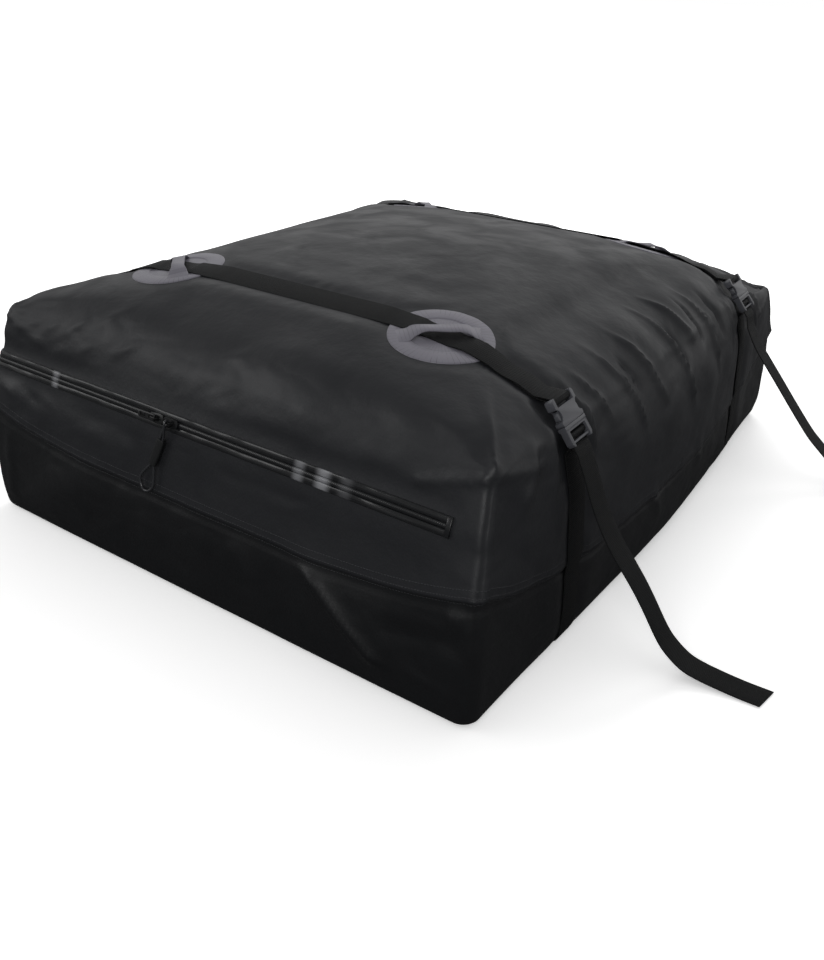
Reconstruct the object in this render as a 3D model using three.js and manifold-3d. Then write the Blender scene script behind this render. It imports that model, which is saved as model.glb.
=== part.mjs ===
// Roof cargo bag: a soft waterproof bag packed full, cinched by two webbing straps.
// Millimetres, +X to the right along the zip, +Y to the far end, +Z up, origin under the middle.
import * as THREE from 'three';
import { mergeVertices } from 'three/addons/utils/BufferGeometryUtils.js';
import Module from 'manifold-3d';

const wasm = await Module();
wasm.setup();

// Bag
const BASE_WIDTH = 872;
const BASE_LENGTH = 1132;
const TIP_HEIGHT = 300;
const CROWN_HEIGHT = 398;
const BASE_CORNER = 22;
const TIP_CORNER = 13;
const SIDE_BULGE = 24;
const SEAM_HEIGHT = 178;
const SEAM_DIP_END = 34;
const SEAM_DIP_SIDE = 66;
const SEAM_STEP = 4;
const SIDE_COLUMNS = 26;
const END_COLUMNS = 20;
const CORNER_COLUMNS = 5;
const TIP_REACH = 150;
const TIP_LIFT = { rearLeft: 11, rearRight: 6, frontLeft: 9, frontRight: -39 };

// Gap that neighbouring pieces keep
const GAP = 0.3;

// Zip
const ZIP_HEIGHT = 245;
const ZIP_BAND = 24;
const ZIP_CHAIN_WIDTH = 6.4;
const ZIP_CHAIN_RISE = 3.2;
const ZIP_TAPE_RISE = 2.3;
const ZIP_END_INSET = 64;
const ZIP_RIGHT_END = BASE_WIDTH / 2 - ZIP_END_INSET;
const ZIP_TO_STRAP = 15;
const ZIP_STOP_LENGTH = 6;

// Sliders, the metal tab of one and the cord pull of the other
const SLIDER_LENGTH = 25;
const SLIDER_HEAD = 14;
const SLIDER_TAIL = 10.5;
const SLIDER_PLATE = 1.8;
const SLIDER_MEETING = -59;
const BAIL_LENGTH = 13;
const BAIL_WIDTH = 2.6;
const BAIL_WIRE = 2;
const BAIL_OPENING = 5.6;
const TAB_WIDTH = 9;
const TAB_THICK = 1.6;
const TAB_LENGTH = 30;
const CORD_RADIUS = 1.7;
const PULL_LEAN = 20;
const PULL_REACH = 72;
const PULL_LOOP_HEIGHT = 36;
const PULL_LOOP_WIDTH = 25;
const GRIP_LENGTH = 40;
const GRIP_WIDTH = 12;
const GRIP_THICK = 6;

// Straps
const STRAP_WIDTH = 38;
const STRAP_THICK = 1.8;
const STRAP_FROM_REAR = 228;
const STRAP_FROM_FRONT = 236;
const STRAP_REAR_Y = STRAP_FROM_REAR - BASE_LENGTH / 2;
const STRAP_FRONT_Y = BASE_LENGTH / 2 - STRAP_FROM_FRONT;
const STRAP_SPAN_LIFT = 2.5;
const STRAP_FLOOR = 0.2;
const TAIL_SLANT = 5;
// Loose tails: distance from the bag's side, along its side from the strap, and height
const TAIL_REAR = [
  [12, 0.5, 250], [27, 2, 213], [44, 4, 180], [61, 7, 153], [78, 10, 130],
  [93, 13, 108], [107, 16, 85], [120, 19, 62], [132, 22, 43], [146, 25, 28],
  [162, 28, 16], [180, 31, 9.5], [204, 34, 5], [232, 36, 2.4], [261, 38, 1.4],
];
const TAIL_FRONT = [
  [8, 0.5, 250], [27, 1, 219], [47, 1.5, 195], [67, 2, 172], [85, 2.5, 151],
  [103, 3, 130], [124, 3.5, 106], [146, 4, 82], [164, 4.5, 66], [182, 5, 51],
  [204, 5.5, 34], [228, 6, 18.5], [254, 6.5, 8], [282, 7, 3], [310, 7.5, 1.4],
];
const HUB_HEIGHT = 150;

// Round strap guides
const PATCH_INSET = 205;
const PATCH_X = BASE_WIDTH / 2 - PATCH_INSET;
const PATCH_RADIUS = 68;
const PATCH_HOLE = 42;
const PATCH_THICK = 1.5;
const BRIDGE_WIDTH = 18;
const BRIDGE_RISE = 7;
const BRIDGE_ANGLE = 45;

// Side release buckle
const BUCKLE_WIDTH = 52;
const BUCKLE_THICK = 11;
const SOCKET_LENGTH = 35;
const PLUG_LENGTH = 26.5;
const BUCKLE_INSET = 55;
const BUCKLE_X = BASE_WIDTH / 2 - BUCKLE_INSET;
const BUCKLE_WALL = 2;
const BUCKLE_POST = 3.4;
const WINDOW_RADIUS = 8.5;
const SLOT_WIDTH = 4.4;
const BAR_WIDTH = 3.6;
const BUCKLE_CLEARANCE = 0.4;

const finish = (color, roughness, metalness = 0) =>
  new THREE.MeshStandardMaterial({ color, roughness, metalness, flatShading: true });
const COATED_CLOTH = finish(0x232527, 0.45);
const ZIP_COATING = finish(0x2c2d2f, 0.25);
const DARK_METAL = finish(0x1d1e20, 0.3, 0.7);
const GREY_VINYL = finish(0x9a999f, 0.55);
const WEBBING = finish(0x1f2022, 0.75);
const BUCKLE_PLASTIC = finish(0x5f6062, 0.35);

const part = new THREE.Group();

function addMesh(name, geometry, material, group = part) {
  const mesh = new THREE.Mesh(geometry, material);
  mesh.name = name;
  group.add(mesh);
  return mesh;
}

// A group whose own axes are the three given directions
function frameGroup(x, y, z, origin) {
  const group = new THREE.Group();
  group.applyMatrix4(new THREE.Matrix4().makeBasis(x, y, z).setPosition(origin));
  group.updateMatrixWorld(true);
  part.add(group);
  return group;
}

// Booleans
function solidOf(geometry) {
  const bare = geometry.clone();
  bare.deleteAttribute('normal');
  bare.deleteAttribute('uv');
  const merged = mergeVertices(bare, 1e-4);
  return new wasm.Manifold(new wasm.Mesh({
    numProp: 3,
    vertProperties: new Float32Array(merged.attributes.position.array),
    triVerts: new Uint32Array(merged.index.array),
  }));
}

function geometryOf(solid) {
  const { vertProperties, triVerts, numProp } = solid.getMesh();
  const positions = new Float32Array(triVerts.length * 3);
  triVerts.forEach((vertex, i) => {
    for (let k = 0; k < 3; k++) positions[i * 3 + k] = vertProperties[vertex * numProp + k];
  });
  const geometry = new THREE.BufferGeometry();
  geometry.setAttribute('position', new THREE.BufferAttribute(positions, 3));
  geometry.computeVertexNormals();
  return geometry;
}

// A solid of a group's own axes, moved to the bag's axes
const inBag = (solid, group) => solidOf(geometryOf(solid).applyMatrix4(group.matrixWorld));

// A closed solid through a list of rings that all have the same number of points
function loft(rings, closed = false) {
  const count = rings[0].length;
  const points = rings.flat();
  const triangles = [];
  for (let i = 0; i < (closed ? rings.length : rings.length - 1); i++) {
    const next = (i + 1) % rings.length;
    for (let j = 0; j < count; j++) {
      const k = (j + 1) % count;
      const [a, b, c, d] = [i * count + j, i * count + k, next * count + k, next * count + j];
      triangles.push([a, b, c], [a, c, d]);
    }
  }
  for (const [ring, reversed] of closed ? [] : [[0, true], [rings.length - 1, false]]) {
    const middle = new THREE.Vector3();
    rings[ring].forEach((p) => middle.addScaledVector(p, 1 / count));
    points.push(middle);
    for (let j = 0; j < count; j++) {
      const a = ring * count + j;
      const b = ring * count + ((j + 1) % count);
      triangles.push(reversed ? [b, a, points.length - 1] : [a, b, points.length - 1]);
    }
  }
  let volume = 0;
  for (const [a, b, c] of triangles) {
    volume += points[a].dot(new THREE.Vector3().crossVectors(points[b], points[c]));
  }
  const index = triangles.flatMap(([a, b, c]) => (volume > 0 ? [a, b, c] : [a, c, b]));
  const geometry = new THREE.BufferGeometry().setFromPoints(points);
  geometry.setIndex(index);
  geometry.computeVertexNormals();
  return geometry;
}

const clamp01 = (t) => Math.min(1, Math.max(0, t));
const mix = (a, b, t) => a + (b - a) * t;
const ease = (t) => clamp01(t) ** 2 * (3 - 2 * clamp01(t));

// Bag wall, base to tips: share of the tip height, inset of the sides, inset of the ends, bulge share
const WALL = [
  [0.000, 12, 10, 0.5], [0.025, 3, 2, 0.6], [0.08, 0, 0, 0.75], [0.25, 0, 1, 0.9],
  [0.45, 3, 4, 1], [0.58, 6, 9, 1], [0.593, 6 - SEAM_STEP, 9 - SEAM_STEP, 1],
  [0.66, 6, 13, 0.95], [0.74, 10, 22, 0.85], [0.817, 14.5, 29, 0.65],
  [0.88, 18, 38, 0.45], [0.94, 22, 47, 0.3], [1, 26, 57, 0.2],
];
// Shoulder, tips to crown: share of the rise, inset of the sides, of the rear, of the front, corner
const SHOULDER = [
  [0.10, 38, 63, 90, 22], [0.26, 58, 76, 144, 36], [0.40, 88, 93, 190, 66],
  [0.52, 122, 114, 236, 96], [0.64, 146, 150, 280, 122], [0.73, 166, 184, 320, 142],
  [0.82, 204, 232, 372, 150], [0.89, 246, 294, 440, 148],
];
const CAP_SHARES = [0.66, 0.33];

// Main folds of the packed cloth: place along the wall and height at the top and at the foot,
// half width, rise. The sides gather in slanting pleats between the straps.
const RIGHT_FOLDS = [
  [-225, 342, -188, 206, 42, 7], [-78, 350, -36, 196, 44, 7.5], [76, 348, 120, 198, 44, 7.5],
  [212, 335, 240, 206, 40, 6], [-462, 312, -448, 206, 34, 4], [452, 288, 462, 206, 34, 4],
];
const LEFT_FOLDS = [
  [-205, 342, -232, 206, 42, 6], [-50, 350, -86, 196, 44, 7], [98, 348, 64, 198, 44, 6.5],
  [226, 335, 204, 206, 40, 5], [450, 322, 462, 206, 34, 4],
];
const REAR_FOLDS = [
  [178, 146, 318, 44, 32, 6], [-196, 128, -330, 40, 40, 5], [-20, 122, 70, 40, 44, 3.5],
  [-150, 346, -330, 296, 36, 4.5], [40, 350, 190, 298, 38, 4],
];
const FRONT_FOLDS = [
  [-178, 150, -310, 50, 36, 5], [190, 128, 320, 40, 40, 5], [30, 340, -150, 250, 44, 5],
  [150, 336, 330, 262, 40, 5],
];
const FOLD_FADE = 0.3;
const STRAP_HOLD = 70;

// Height of the folds over the smooth wall
function foldRise(folds, along, z) {
  return folds.reduce((sum, [topAlong, topZ, footAlong, footZ, halfWidth, rise]) => {
    const [wayA, wayZ] = [footAlong - topAlong, footZ - topZ];
    const share = ((along - topAlong) * wayA + (z - topZ) * wayZ) / (wayA ** 2 + wayZ ** 2);
    const nearest = clamp01(share);
    const off = Math.hypot(along - topAlong - nearest * wayA, z - topZ - nearest * wayZ);
    const ends = ease((share + FOLD_FADE) / (2 * FOLD_FADE))
      * ease((1 + FOLD_FADE - share) / (2 * FOLD_FADE));
    return sum + rise * ends * Math.exp(-((off / halfWidth) ** 2));
  }, 0);
}

// The straps hold the cloth flat, so the side folds die out beside them
function strapHold(y) {
  return [STRAP_REAR_Y, STRAP_FRONT_Y].reduce((hold, strapY) =>
    hold * (1 - Math.exp(-(((y - strapY) / STRAP_HOLD) ** 2))), 1);
}

const WALL_FOLDS = [RIGHT_FOLDS, FRONT_FOLDS, LEFT_FOLDS, REAR_FOLDS];

// Height of a wall row at one column, so that the lap seam dips between the corners
function seamHeight(height, dip) {
  const seam = SEAM_HEIGHT - dip;
  const zipFoot = ZIP_HEIGHT - ZIP_BAND;
  if (height <= SEAM_HEIGHT) return height * seam / SEAM_HEIGHT;
  if (height >= zipFoot) return height;
  return seam + (height - SEAM_HEIGHT) * (zipFoot - seam) / (zipFoot - SEAM_HEIGHT);
}

function tipLift(x, y, z) {
  const tipX = BASE_WIDTH / 2 - WALL.at(-1)[1];
  const tipY = BASE_LENGTH / 2 - WALL.at(-1)[2];
  const start = ZIP_HEIGHT + ZIP_BAND;
  const share = clamp01((z - start) / (TIP_HEIGHT - start));
  let lift = 0;
  for (const [sx, sy, amount] of [
    [-1, -1, TIP_LIFT.rearLeft], [1, -1, TIP_LIFT.rearRight],
    [-1, 1, TIP_LIFT.frontLeft], [1, 1, TIP_LIFT.frontRight],
  ]) {
    const far = Math.hypot(x - sx * tipX, y - sy * tipY) / TIP_REACH;
    lift += amount * Math.exp(-far * far);
  }
  return lift * share;
}

// One level of the bag: a rounded rectangle with bulging sides
function bagRow({ height, side, rear, front, corner, bulge, dips }) {
  const halfWidth = BASE_WIDTH / 2 - side;
  const halfLength = (BASE_LENGTH - rear - front) / 2;
  const middleY = (rear - front) / 2;
  const ring = [];
  for (let quarter = 0; quarter < 4; quarter++) {
    const isSide = quarter % 2 === 0;
    const half = isSide ? halfLength : halfWidth;
    const off = isSide ? halfWidth : halfLength;
    const columns = isSide ? SIDE_COLUMNS : END_COLUMNS;
    const dip = dips ? (isSide ? SEAM_DIP_SIDE : SEAM_DIP_END) : 0;
    const turnedBack = quarter === 1 || quarter === 2;
    const place = (along, out, z, folded = 0) => {
      const wallPlace = (turnedBack ? -along : along) + (isSide ? middleY : 0);
      const hold = isSide ? strapHold(wallPlace) : 1;
      const reach = out + folded * hold * foldRise(WALL_FOLDS[quarter], wallPlace, z);
      const [x, y] = [[reach, along], [-along, reach], [-reach, -along], [along, -reach]][quarter];
      ring.push(new THREE.Vector3(x, y + middleY, z + tipLift(x, y + middleY, z)));
    };
    for (let i = 0; i < columns; i++) {
      const t = 2 * i / columns - 1;
      const swell = (1 - t * t) ** 2;
      const z = dips ? seamHeight(height, dip * (1 - t ** 4)) : height;
      place(t * (half - corner), off + (isSide ? bulge * swell : 0), z, ease((1 - Math.abs(t)) * 6));
    }
    for (let i = 0; i < CORNER_COLUMNS; i++) {
      const turn = (i / CORNER_COLUMNS) * Math.PI / 2;
      place(half - corner + corner * Math.sin(turn), off - corner + corner * Math.cos(turn), height);
    }
  }
  return ring;
}

function bagRows() {
  const rows = WALL.map(([share, side, end, bulge]) => {
    const seamShare = 0.593;
    const height = share <= seamShare
      ? SEAM_HEIGHT * share / seamShare
      : mix(SEAM_HEIGHT, TIP_HEIGHT, (share - seamShare) / (1 - seamShare));
    const corner = mix(BASE_CORNER, TIP_CORNER, share);
    return bagRow({
      height, side, rear: end, front: end, corner, bulge: SIDE_BULGE * bulge, dips: true,
    });
  });
  for (const [share, side, rear, front, corner] of SHOULDER) {
    const height = mix(TIP_HEIGHT, CROWN_HEIGHT, share);
    rows.push(bagRow({ height, side, rear, front, corner, bulge: 3 * (1 - share), dips: false }));
  }
  const last = rows.at(-1);
  const middle = new THREE.Vector3();
  last.forEach((p) => middle.addScaledVector(p, 1 / last.length));
  for (const share of CAP_SHARES) {
    const rise = (CROWN_HEIGHT - middle.z) * (1 - share * share);
    rows.push(last.map((p) => {
      const q = middle.clone().lerp(p, share);
      q.z += rise;
      return q;
    }));
  }
  return rows;
}

const ROWS = bagRows();

// Where the plane at y cuts the bag, as points from the base up to the crown on one side
function profileAt(y, side) {
  const points = [];
  for (const row of ROWS) {
    for (let j = 0; j < row.length; j++) {
      const a = row[j];
      const b = row[(j + 1) % row.length];
      if ((a.y - y) * (b.y - y) > 0 || a.y === b.y || (a.x + b.x) * side < 0) continue;
      const t = (y - a.y) / (b.y - a.y);
      points.push(new THREE.Vector2(mix(a.x, b.x, t), mix(a.z, b.z, t)));
      break;
    }
  }
  return points;
}

// The bag's outline in the plane at y, as a loop: up the right side, over, down the left side
function loopAt(y) {
  return [...profileAt(y, 1), ...profileAt(y, -1).reverse()];
}

// Point of a loop in the direction of an angle from the hub, in degrees from +X
function loopPoint(loop, degrees) {
  const hub = new THREE.Vector2(0, HUB_HEIGHT);
  const angle = THREE.MathUtils.degToRad(degrees);
  const ray = new THREE.Vector2(Math.cos(angle), Math.sin(angle));
  for (let i = 0; i < loop.length; i++) {
    const a = loop[i].clone().sub(hub);
    const b = loop[(i + 1) % loop.length].clone().sub(hub);
    const sideA = ray.cross(a);
    const sideB = ray.cross(b);
    if (sideA * sideB > 0 || sideA === sideB) continue;
    const hit = a.lerp(b, sideA / (sideA - sideB));
    if (hit.dot(ray) > 0) return hit.add(hub);
  }
  throw new Error(`no bag surface at ${degrees} degrees`);
}

function topHeight(x, y) {
  const profile = profileAt(y, x < 0 ? -1 : 1);
  const crown = profile.at(-1);
  for (let i = profile.length - 2; i >= 0; i--) {
    const [a, b] = [profile[i], profile[i + 1]];
    if (Math.abs(a.x) < Math.abs(x)) continue;
    return mix(b.y, a.y, clamp01((Math.abs(x) - Math.abs(b.x)) / (Math.abs(a.x) - Math.abs(b.x))));
  }
  return crown.y;
}

// The bag's wall at a column, which may lie between two, and a height
function wallPoint(column, z) {
  const count = ROWS[0].length;
  const a = Math.floor(column);
  const [j, k] = [((a % count) + count) % count, (((a + 1) % count) + count) % count];
  const at = (row) => row[j].clone().lerp(row[k], column - a);
  for (let i = 0; i < ROWS.length - 1; i++) {
    const [low, high] = [at(ROWS[i]), at(ROWS[i + 1])];
    if (high.z >= z && high.z > low.z) return low.lerp(high, clamp01((z - low.z) / (high.z - low.z)));
  }
  throw new Error(`no wall at height ${z}`);
}

const REAR_LEFT_CORNER = 2 * SIDE_COLUMNS + END_COLUMNS + 2 * CORNER_COLUMNS;
const REAR_FIRST = REAR_LEFT_CORNER + CORNER_COLUMNS;

// A point on the rear wall
function rearPoint(x, z) {
  let low = REAR_FIRST;
  let high = REAR_FIRST + END_COLUMNS;
  for (let i = 0; i < 30; i++) {
    const middle = (low + high) / 2;
    if (wallPoint(middle, z).x < x) low = middle;
    else high = middle;
  }
  return wallPoint(low, z);
}

// Webbing: each station is a point of the middle line, and a normal. Its width runs along Y.
function webbing(stations, halfThick, halfWidth) {
  return loft(stations.map(({ left, right, normal }) => {
    const across = right.clone().sub(left).multiplyScalar(halfWidth / STRAP_WIDTH);
    const middle = left.clone().lerp(right, 0.5);
    return [[-1, -1], [1, -1], [1, 1], [-1, 1]].map(([side, face]) => middle.clone()
      .addScaledVector(across, side).addScaledVector(normal, face * halfThick));
  }));
}

const strapSolid = (stations) => webbing(stations, STRAP_THICK / 2, STRAP_WIDTH / 2);
const strapCut = (stations) =>
  solidOf(webbing(stations, STRAP_THICK / 2 + GAP, STRAP_WIDTH / 2 + GAP));

// Height of a strap over the bag where it passes the round guides
function guideLift(x) {
  const off = Math.abs(Math.abs(x) - PATCH_X);
  const rim = PATCH_THICK + 3 * GAP;
  const overRim = ease((off - PATCH_HOLE * 0.6) / (PATCH_HOLE * 0.28));
  const pastRim = ease((off - PATCH_RADIUS - 6) / 16);
  const between = Math.abs(x) < PATCH_X ? STRAP_SPAN_LIFT : 0;
  return mix(rim * overRim, between, pastRim);
}

// Stations of a strap that lies on the bag, at a list of angles round the hub
function wrapStations(y, angles, facing, lift = () => 0) {
  const half = STRAP_WIDTH / 2;
  const loops = [loopAt(y - half), loopAt(y), loopAt(y + half)];
  const floor = STRAP_FLOOR + STRAP_THICK / 2;
  return angles.map((degrees) => {
    const [l, m, r] = loops.map((loop) => loopPoint(loop, degrees));
    const before = loopPoint(loops[1], degrees - 0.6);
    const after = loopPoint(loops[1], degrees + 0.6);
    const normal = new THREE.Vector3(after.y - before.y, 0, before.x - after.x).normalize();
    const crown = new THREE.Vector2(normal.x, normal.z)
      .dot(m.clone().sub(l.clone().lerp(r, 0.5)));
    const guide = m.y > TIP_HEIGHT ? guideLift(m.x) : 0;
    const rise = GAP + STRAP_THICK / 2 + Math.max(0, crown) + guide + lift(degrees);
    const [left, right] = [[l, y - half], [r, y + half]].map(([p, edge]) => {
      const q = new THREE.Vector3(p.x, edge, p.y).addScaledVector(normal, rise);
      q.z = Math.max(q.z, floor);
      return q;
    });
    return { left, right, normal: normal.multiplyScalar(facing) };
  });
}

// Angles from one to another, closer together at the lower edges and at the guides
const FULL_TURN = 360;
const STRAIGHT_DOWN = 270;
const BASE_EDGE_ANGLE = THREE.MathUtils.radToDeg(Math.atan2(BASE_WIDTH / 2, HUB_HEIGHT));
const GUIDE_ANGLE = THREE.MathUtils.radToDeg(Math.atan2(PATCH_X, CROWN_HEIGHT - HUB_HEIGHT));
function anglesBetween(from, to) {
  const angles = [from];
  const direction = Math.sign(to - from);
  while (true) {
    const turned = ((angles.at(-1) % FULL_TURN) + FULL_TURN) % FULL_TURN;
    const atEdge = Math.abs(Math.abs(turned - STRAIGHT_DOWN) - BASE_EDGE_ANGLE) < 6;
    const atGuide = Math.abs(Math.abs(turned - FULL_TURN / 4) - GUIDE_ANGLE) < 21;
    const next = angles.at(-1) + direction * (atEdge ? 0.6 : atGuide ? 1.2 : 2.5);
    if ((to - next) * direction <= 0.3) return [...angles, to];
    angles.push(next);
  }
}

// Buckle axes: u runs down the side from the socket to the plug, v along Y, w outwards
function buckleFrame(y) {
  const loop = loopAt(y);
  const start = new THREE.Vector2(BUCKLE_X, topHeight(BUCKLE_X, y));
  const first = THREE.MathUtils.radToDeg(Math.atan2(start.y - HUB_HEIGHT, start.x));
  let last = first;
  while (loopPoint(loop, last).distanceTo(start) < SOCKET_LENGTH + PLUG_LENGTH) last -= 0.05;
  const along = loopPoint(loop, last).sub(start).normalize();
  const outward = new THREE.Vector2(-along.y, along.x);
  let rise = 0;
  for (const edge of [y - BUCKLE_WIDTH / 2, y, y + BUCKLE_WIDTH / 2]) {
    const edgeLoop = loopAt(edge);
    for (let k = first; k > last - 5; k -= 0.25) {
      rise = Math.max(rise, loopPoint(edgeLoop, k).sub(start).dot(outward));
    }
  }
  const corner = start.addScaledVector(outward, rise + 2 * GAP);
  const [u, w] = [along, outward].map((p) => new THREE.Vector3(p.x, 0, p.y));
  const origin = new THREE.Vector3(corner.x, y, corner.y);
  const angleAt = (target) => {
    let [low, high] = [last - 25, first + 25];
    for (let i = 0; i < 40; i++) {
      const middle = (low + high) / 2;
      const p = loopPoint(loop, middle);
      const reach = new THREE.Vector3(p.x, y, p.y).sub(origin).dot(u);
      if (reach > target) low = middle;
      else high = middle;
    }
    return low;
  };
  return { u, w, origin, angleAt, group: frameGroup(u, new THREE.Vector3(0, 1, 0), w, origin) };
}

// Stations of a strap inside a buckle, from points in u and w
function buckleStations(frame, y, points) {
  return points.map(([a, c], i) => {
    const before = points[Math.max(0, i - 1)];
    const after = points[Math.min(points.length - 1, i + 1)];
    const tangent = new THREE.Vector2(after[0] - before[0], after[1] - before[1]).normalize();
    const normal = frame.u.clone().multiplyScalar(-tangent.y).addScaledVector(frame.w, tangent.x);
    const middle = frame.origin.clone().addScaledVector(frame.u, a).addScaledVector(frame.w, c);
    const [left, right] = [-1, 1].map((side) => {
      const q = middle.clone();
      q.y = y + side * STRAP_WIDTH / 2;
      return q;
    });
    return { left, right, normal };
  });
}

// A plate from an outline in two directions, between two heights along the third
function plate(outline, low, high) {
  const shape = new THREE.Shape(outline.map(([a, b]) => new THREE.Vector2(a, b)));
  const geometry = new THREE.ExtrudeGeometry(shape, { depth: high - low, bevelEnabled: false });
  geometry.translate(0, 0, low);
  return solidOf(geometry);
}

const rectangle = (u0, u1, v0, v1) => [[u0, v0], [u1, v0], [u1, v1], [u0, v1]];
const block = (u0, u1, v0, v1, w0, w1) => plate(rectangle(u0, u1, v0, v1), w0, w1);

function circle(u, v, radius, sides = 20) {
  return Array.from({ length: sides }, (_, i) => {
    const turn = (i / sides) * Math.PI * 2;
    return [u + radius * Math.cos(turn), v + radius * Math.sin(turn)];
  });
}

// A circle drawn a little towards its square
const squared = (turn) => new THREE.Vector2(...[Math.cos(turn), Math.sin(turn)]
  .map((value) => Math.sign(value) * Math.abs(value) ** 0.8));

// A bar across the buckle with rounded long edges
function crossBar(u, w, width, height, length) {
  const sides = 12;
  const outline = Array.from({ length: sides }, (_, i) => {
    const turn = ((i + 0.5) / sides) * Math.PI * 2;
    return new THREE.Vector2(width / 2 * squared(turn).x, height / 2 * squared(turn).y);
  });
  const geometry = new THREE.ExtrudeGeometry(new THREE.Shape(outline), {
    depth: length, bevelEnabled: false,
  });
  geometry.rotateX(Math.PI / 2);
  geometry.translate(u, length / 2, w);
  return solidOf(geometry);
}

// Buckle sizes that follow from the strap and the bars
const BUCKLE_HALF = BUCKLE_WIDTH / 2;
const SLOT_HALF = STRAP_WIDTH / 2 + 3 * GAP;
const SOCKET_BAR_U = 6;
const SOCKET_BAR_HEIGHT = 4.4;
const WINDOW_U = SOCKET_LENGTH - 14;
const INNER_SLOT_U = SOCKET_LENGTH + 8;
const LOCK_BAR_U = INNER_SLOT_U + SLOT_WIDTH + BAR_WIDTH / 2;
const END_BAR_U = LOCK_BAR_U + SLOT_WIDTH + BAR_WIDTH;
const LOCK_BAR_HEIGHT = 3.4;
const LOAD_W = 2 * GAP + STRAP_THICK / 2;
const TAIL_W = LOAD_W + STRAP_THICK + GAP;
const LOCK_BAR_W = LOAD_W + STRAP_THICK / 2 + GAP + LOCK_BAR_HEIGHT / 2;
const END_BAR_HEIGHT = 4;
const END_BAR_W = TAIL_W + STRAP_THICK / 2 + GAP + END_BAR_HEIGHT / 2;

function socketSolid() {
  const outline = [];
  for (let i = 0; i <= 8; i++) {
    const v = mix(5 - BUCKLE_HALF, BUCKLE_HALF - 5, i / 8);
    outline.push([2.6 * (1 - (v / (BUCKLE_HALF - 5)) ** 2), v]);
  }
  const side = [[1.2, BUCKLE_HALF - 1.4], [4, BUCKLE_HALF], [SOCKET_LENGTH - 2, BUCKLE_HALF],
    [SOCKET_LENGTH, BUCKLE_HALF - 1.2]];
  outline.push(...side, ...side.map(([u, v]) => [u, -v]).reverse());
  const past = BUCKLE_THICK + 1;
  const slotStart = SOCKET_BAR_U + BAR_WIDTH / 2;
  let body = plate(outline, 0, BUCKLE_THICK)
    .subtract(block(-1, slotStart + SLOT_WIDTH, -SLOT_HALF, SLOT_HALF, -1, past))
    .subtract(block(slotStart + SLOT_WIDTH + 1.6, SOCKET_LENGTH + 1, BUCKLE_POST - BUCKLE_HALF,
      BUCKLE_HALF - BUCKLE_POST, BUCKLE_WALL, BUCKLE_THICK - BUCKLE_WALL));
  for (const hand of [-1, 1]) {
    body = body.subtract(plate(circle(WINDOW_U, hand * (BUCKLE_HALF + 1.6), WINDOW_RADIUS), -1, past));
  }
  const barLength = 2 * SLOT_HALF + 2;
  return body.add(crossBar(SOCKET_BAR_U, BUCKLE_THICK / 2, BAR_WIDTH, SOCKET_BAR_HEIGHT, barLength));
}

function armOutline(hand) {
  const inside = BUCKLE_HALF - BUCKLE_POST - BUCKLE_CLEARANCE;
  const reach = Math.sqrt(WINDOW_RADIUS ** 2 - (BUCKLE_POST + 1.6) ** 2);
  const shoulder = WINDOW_U + reach - BUCKLE_CLEARANCE;
  const root = SOCKET_LENGTH + 1.5;
  const points = [
    [root, inside], [shoulder, inside], [shoulder - 1.2, BUCKLE_HALF - 1.6],
    [shoulder - 4, BUCKLE_HALF - 1], [shoulder - 7, BUCKLE_HALF - 1.3],
    [shoulder - 9.5, BUCKLE_HALF - 3], [shoulder - 11.8, BUCKLE_HALF - 4.6],
    [shoulder - 12.4, BUCKLE_HALF - 9], [shoulder - 8, BUCKLE_HALF - 9.5],
    [SOCKET_LENGTH - 5, inside - 5.5], [root, inside - 6.5],
  ];
  return points.map(([u, v]) => [u, hand * v]);
}

function plugSolid() {
  const start = SOCKET_LENGTH + BUCKLE_CLEARANCE;
  const end = SOCKET_LENGTH + PLUG_LENGTH;
  const low = BUCKLE_WALL + BUCKLE_CLEARANCE;
  const high = BUCKLE_THICK - BUCKLE_WALL - BUCKLE_CLEARANCE;
  const rails = [[start, -BUCKLE_HALF], [end - 4, -BUCKLE_HALF], [end, 3 - BUCKLE_HALF],
    [end, BUCKLE_HALF - 3], [end - 4, BUCKLE_HALF], [start, BUCKLE_HALF]];
  const barLength = 2 * SLOT_HALF + 2;
  let body = plate(rails, 1.4, BUCKLE_THICK - 0.6)
    .add(block(start, start + 4.5, -BUCKLE_HALF, BUCKLE_HALF, 0, BUCKLE_THICK))
    .subtract(block(INNER_SLOT_U, end + 1, -SLOT_HALF, SLOT_HALF, -1, BUCKLE_THICK + 1))
    .add(crossBar(LOCK_BAR_U, LOCK_BAR_W, BAR_WIDTH, LOCK_BAR_HEIGHT, barLength))
    .add(crossBar(END_BAR_U, END_BAR_W, BAR_WIDTH, END_BAR_HEIGHT, barLength))
    .add(block(SOCKET_LENGTH - 18, start + 1, -3.4, 3.4, low + 0.5, high - 0.5));
  for (const hand of [-1, 1]) body = body.add(plate(armOutline(hand), low, high));
  return body;
}

// Half a turn of strap round a bar, from below it to above it or back
function turnRound(u, w, reachU, reachW, from, to) {
  const steps = 10;
  return Array.from({ length: steps + 1 }, (_, i) => {
    const around = squared(THREE.MathUtils.degToRad(mix(from, to, i / steps)));
    return [u + reachU * around.x, w + reachW * around.y];
  });
}

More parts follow.
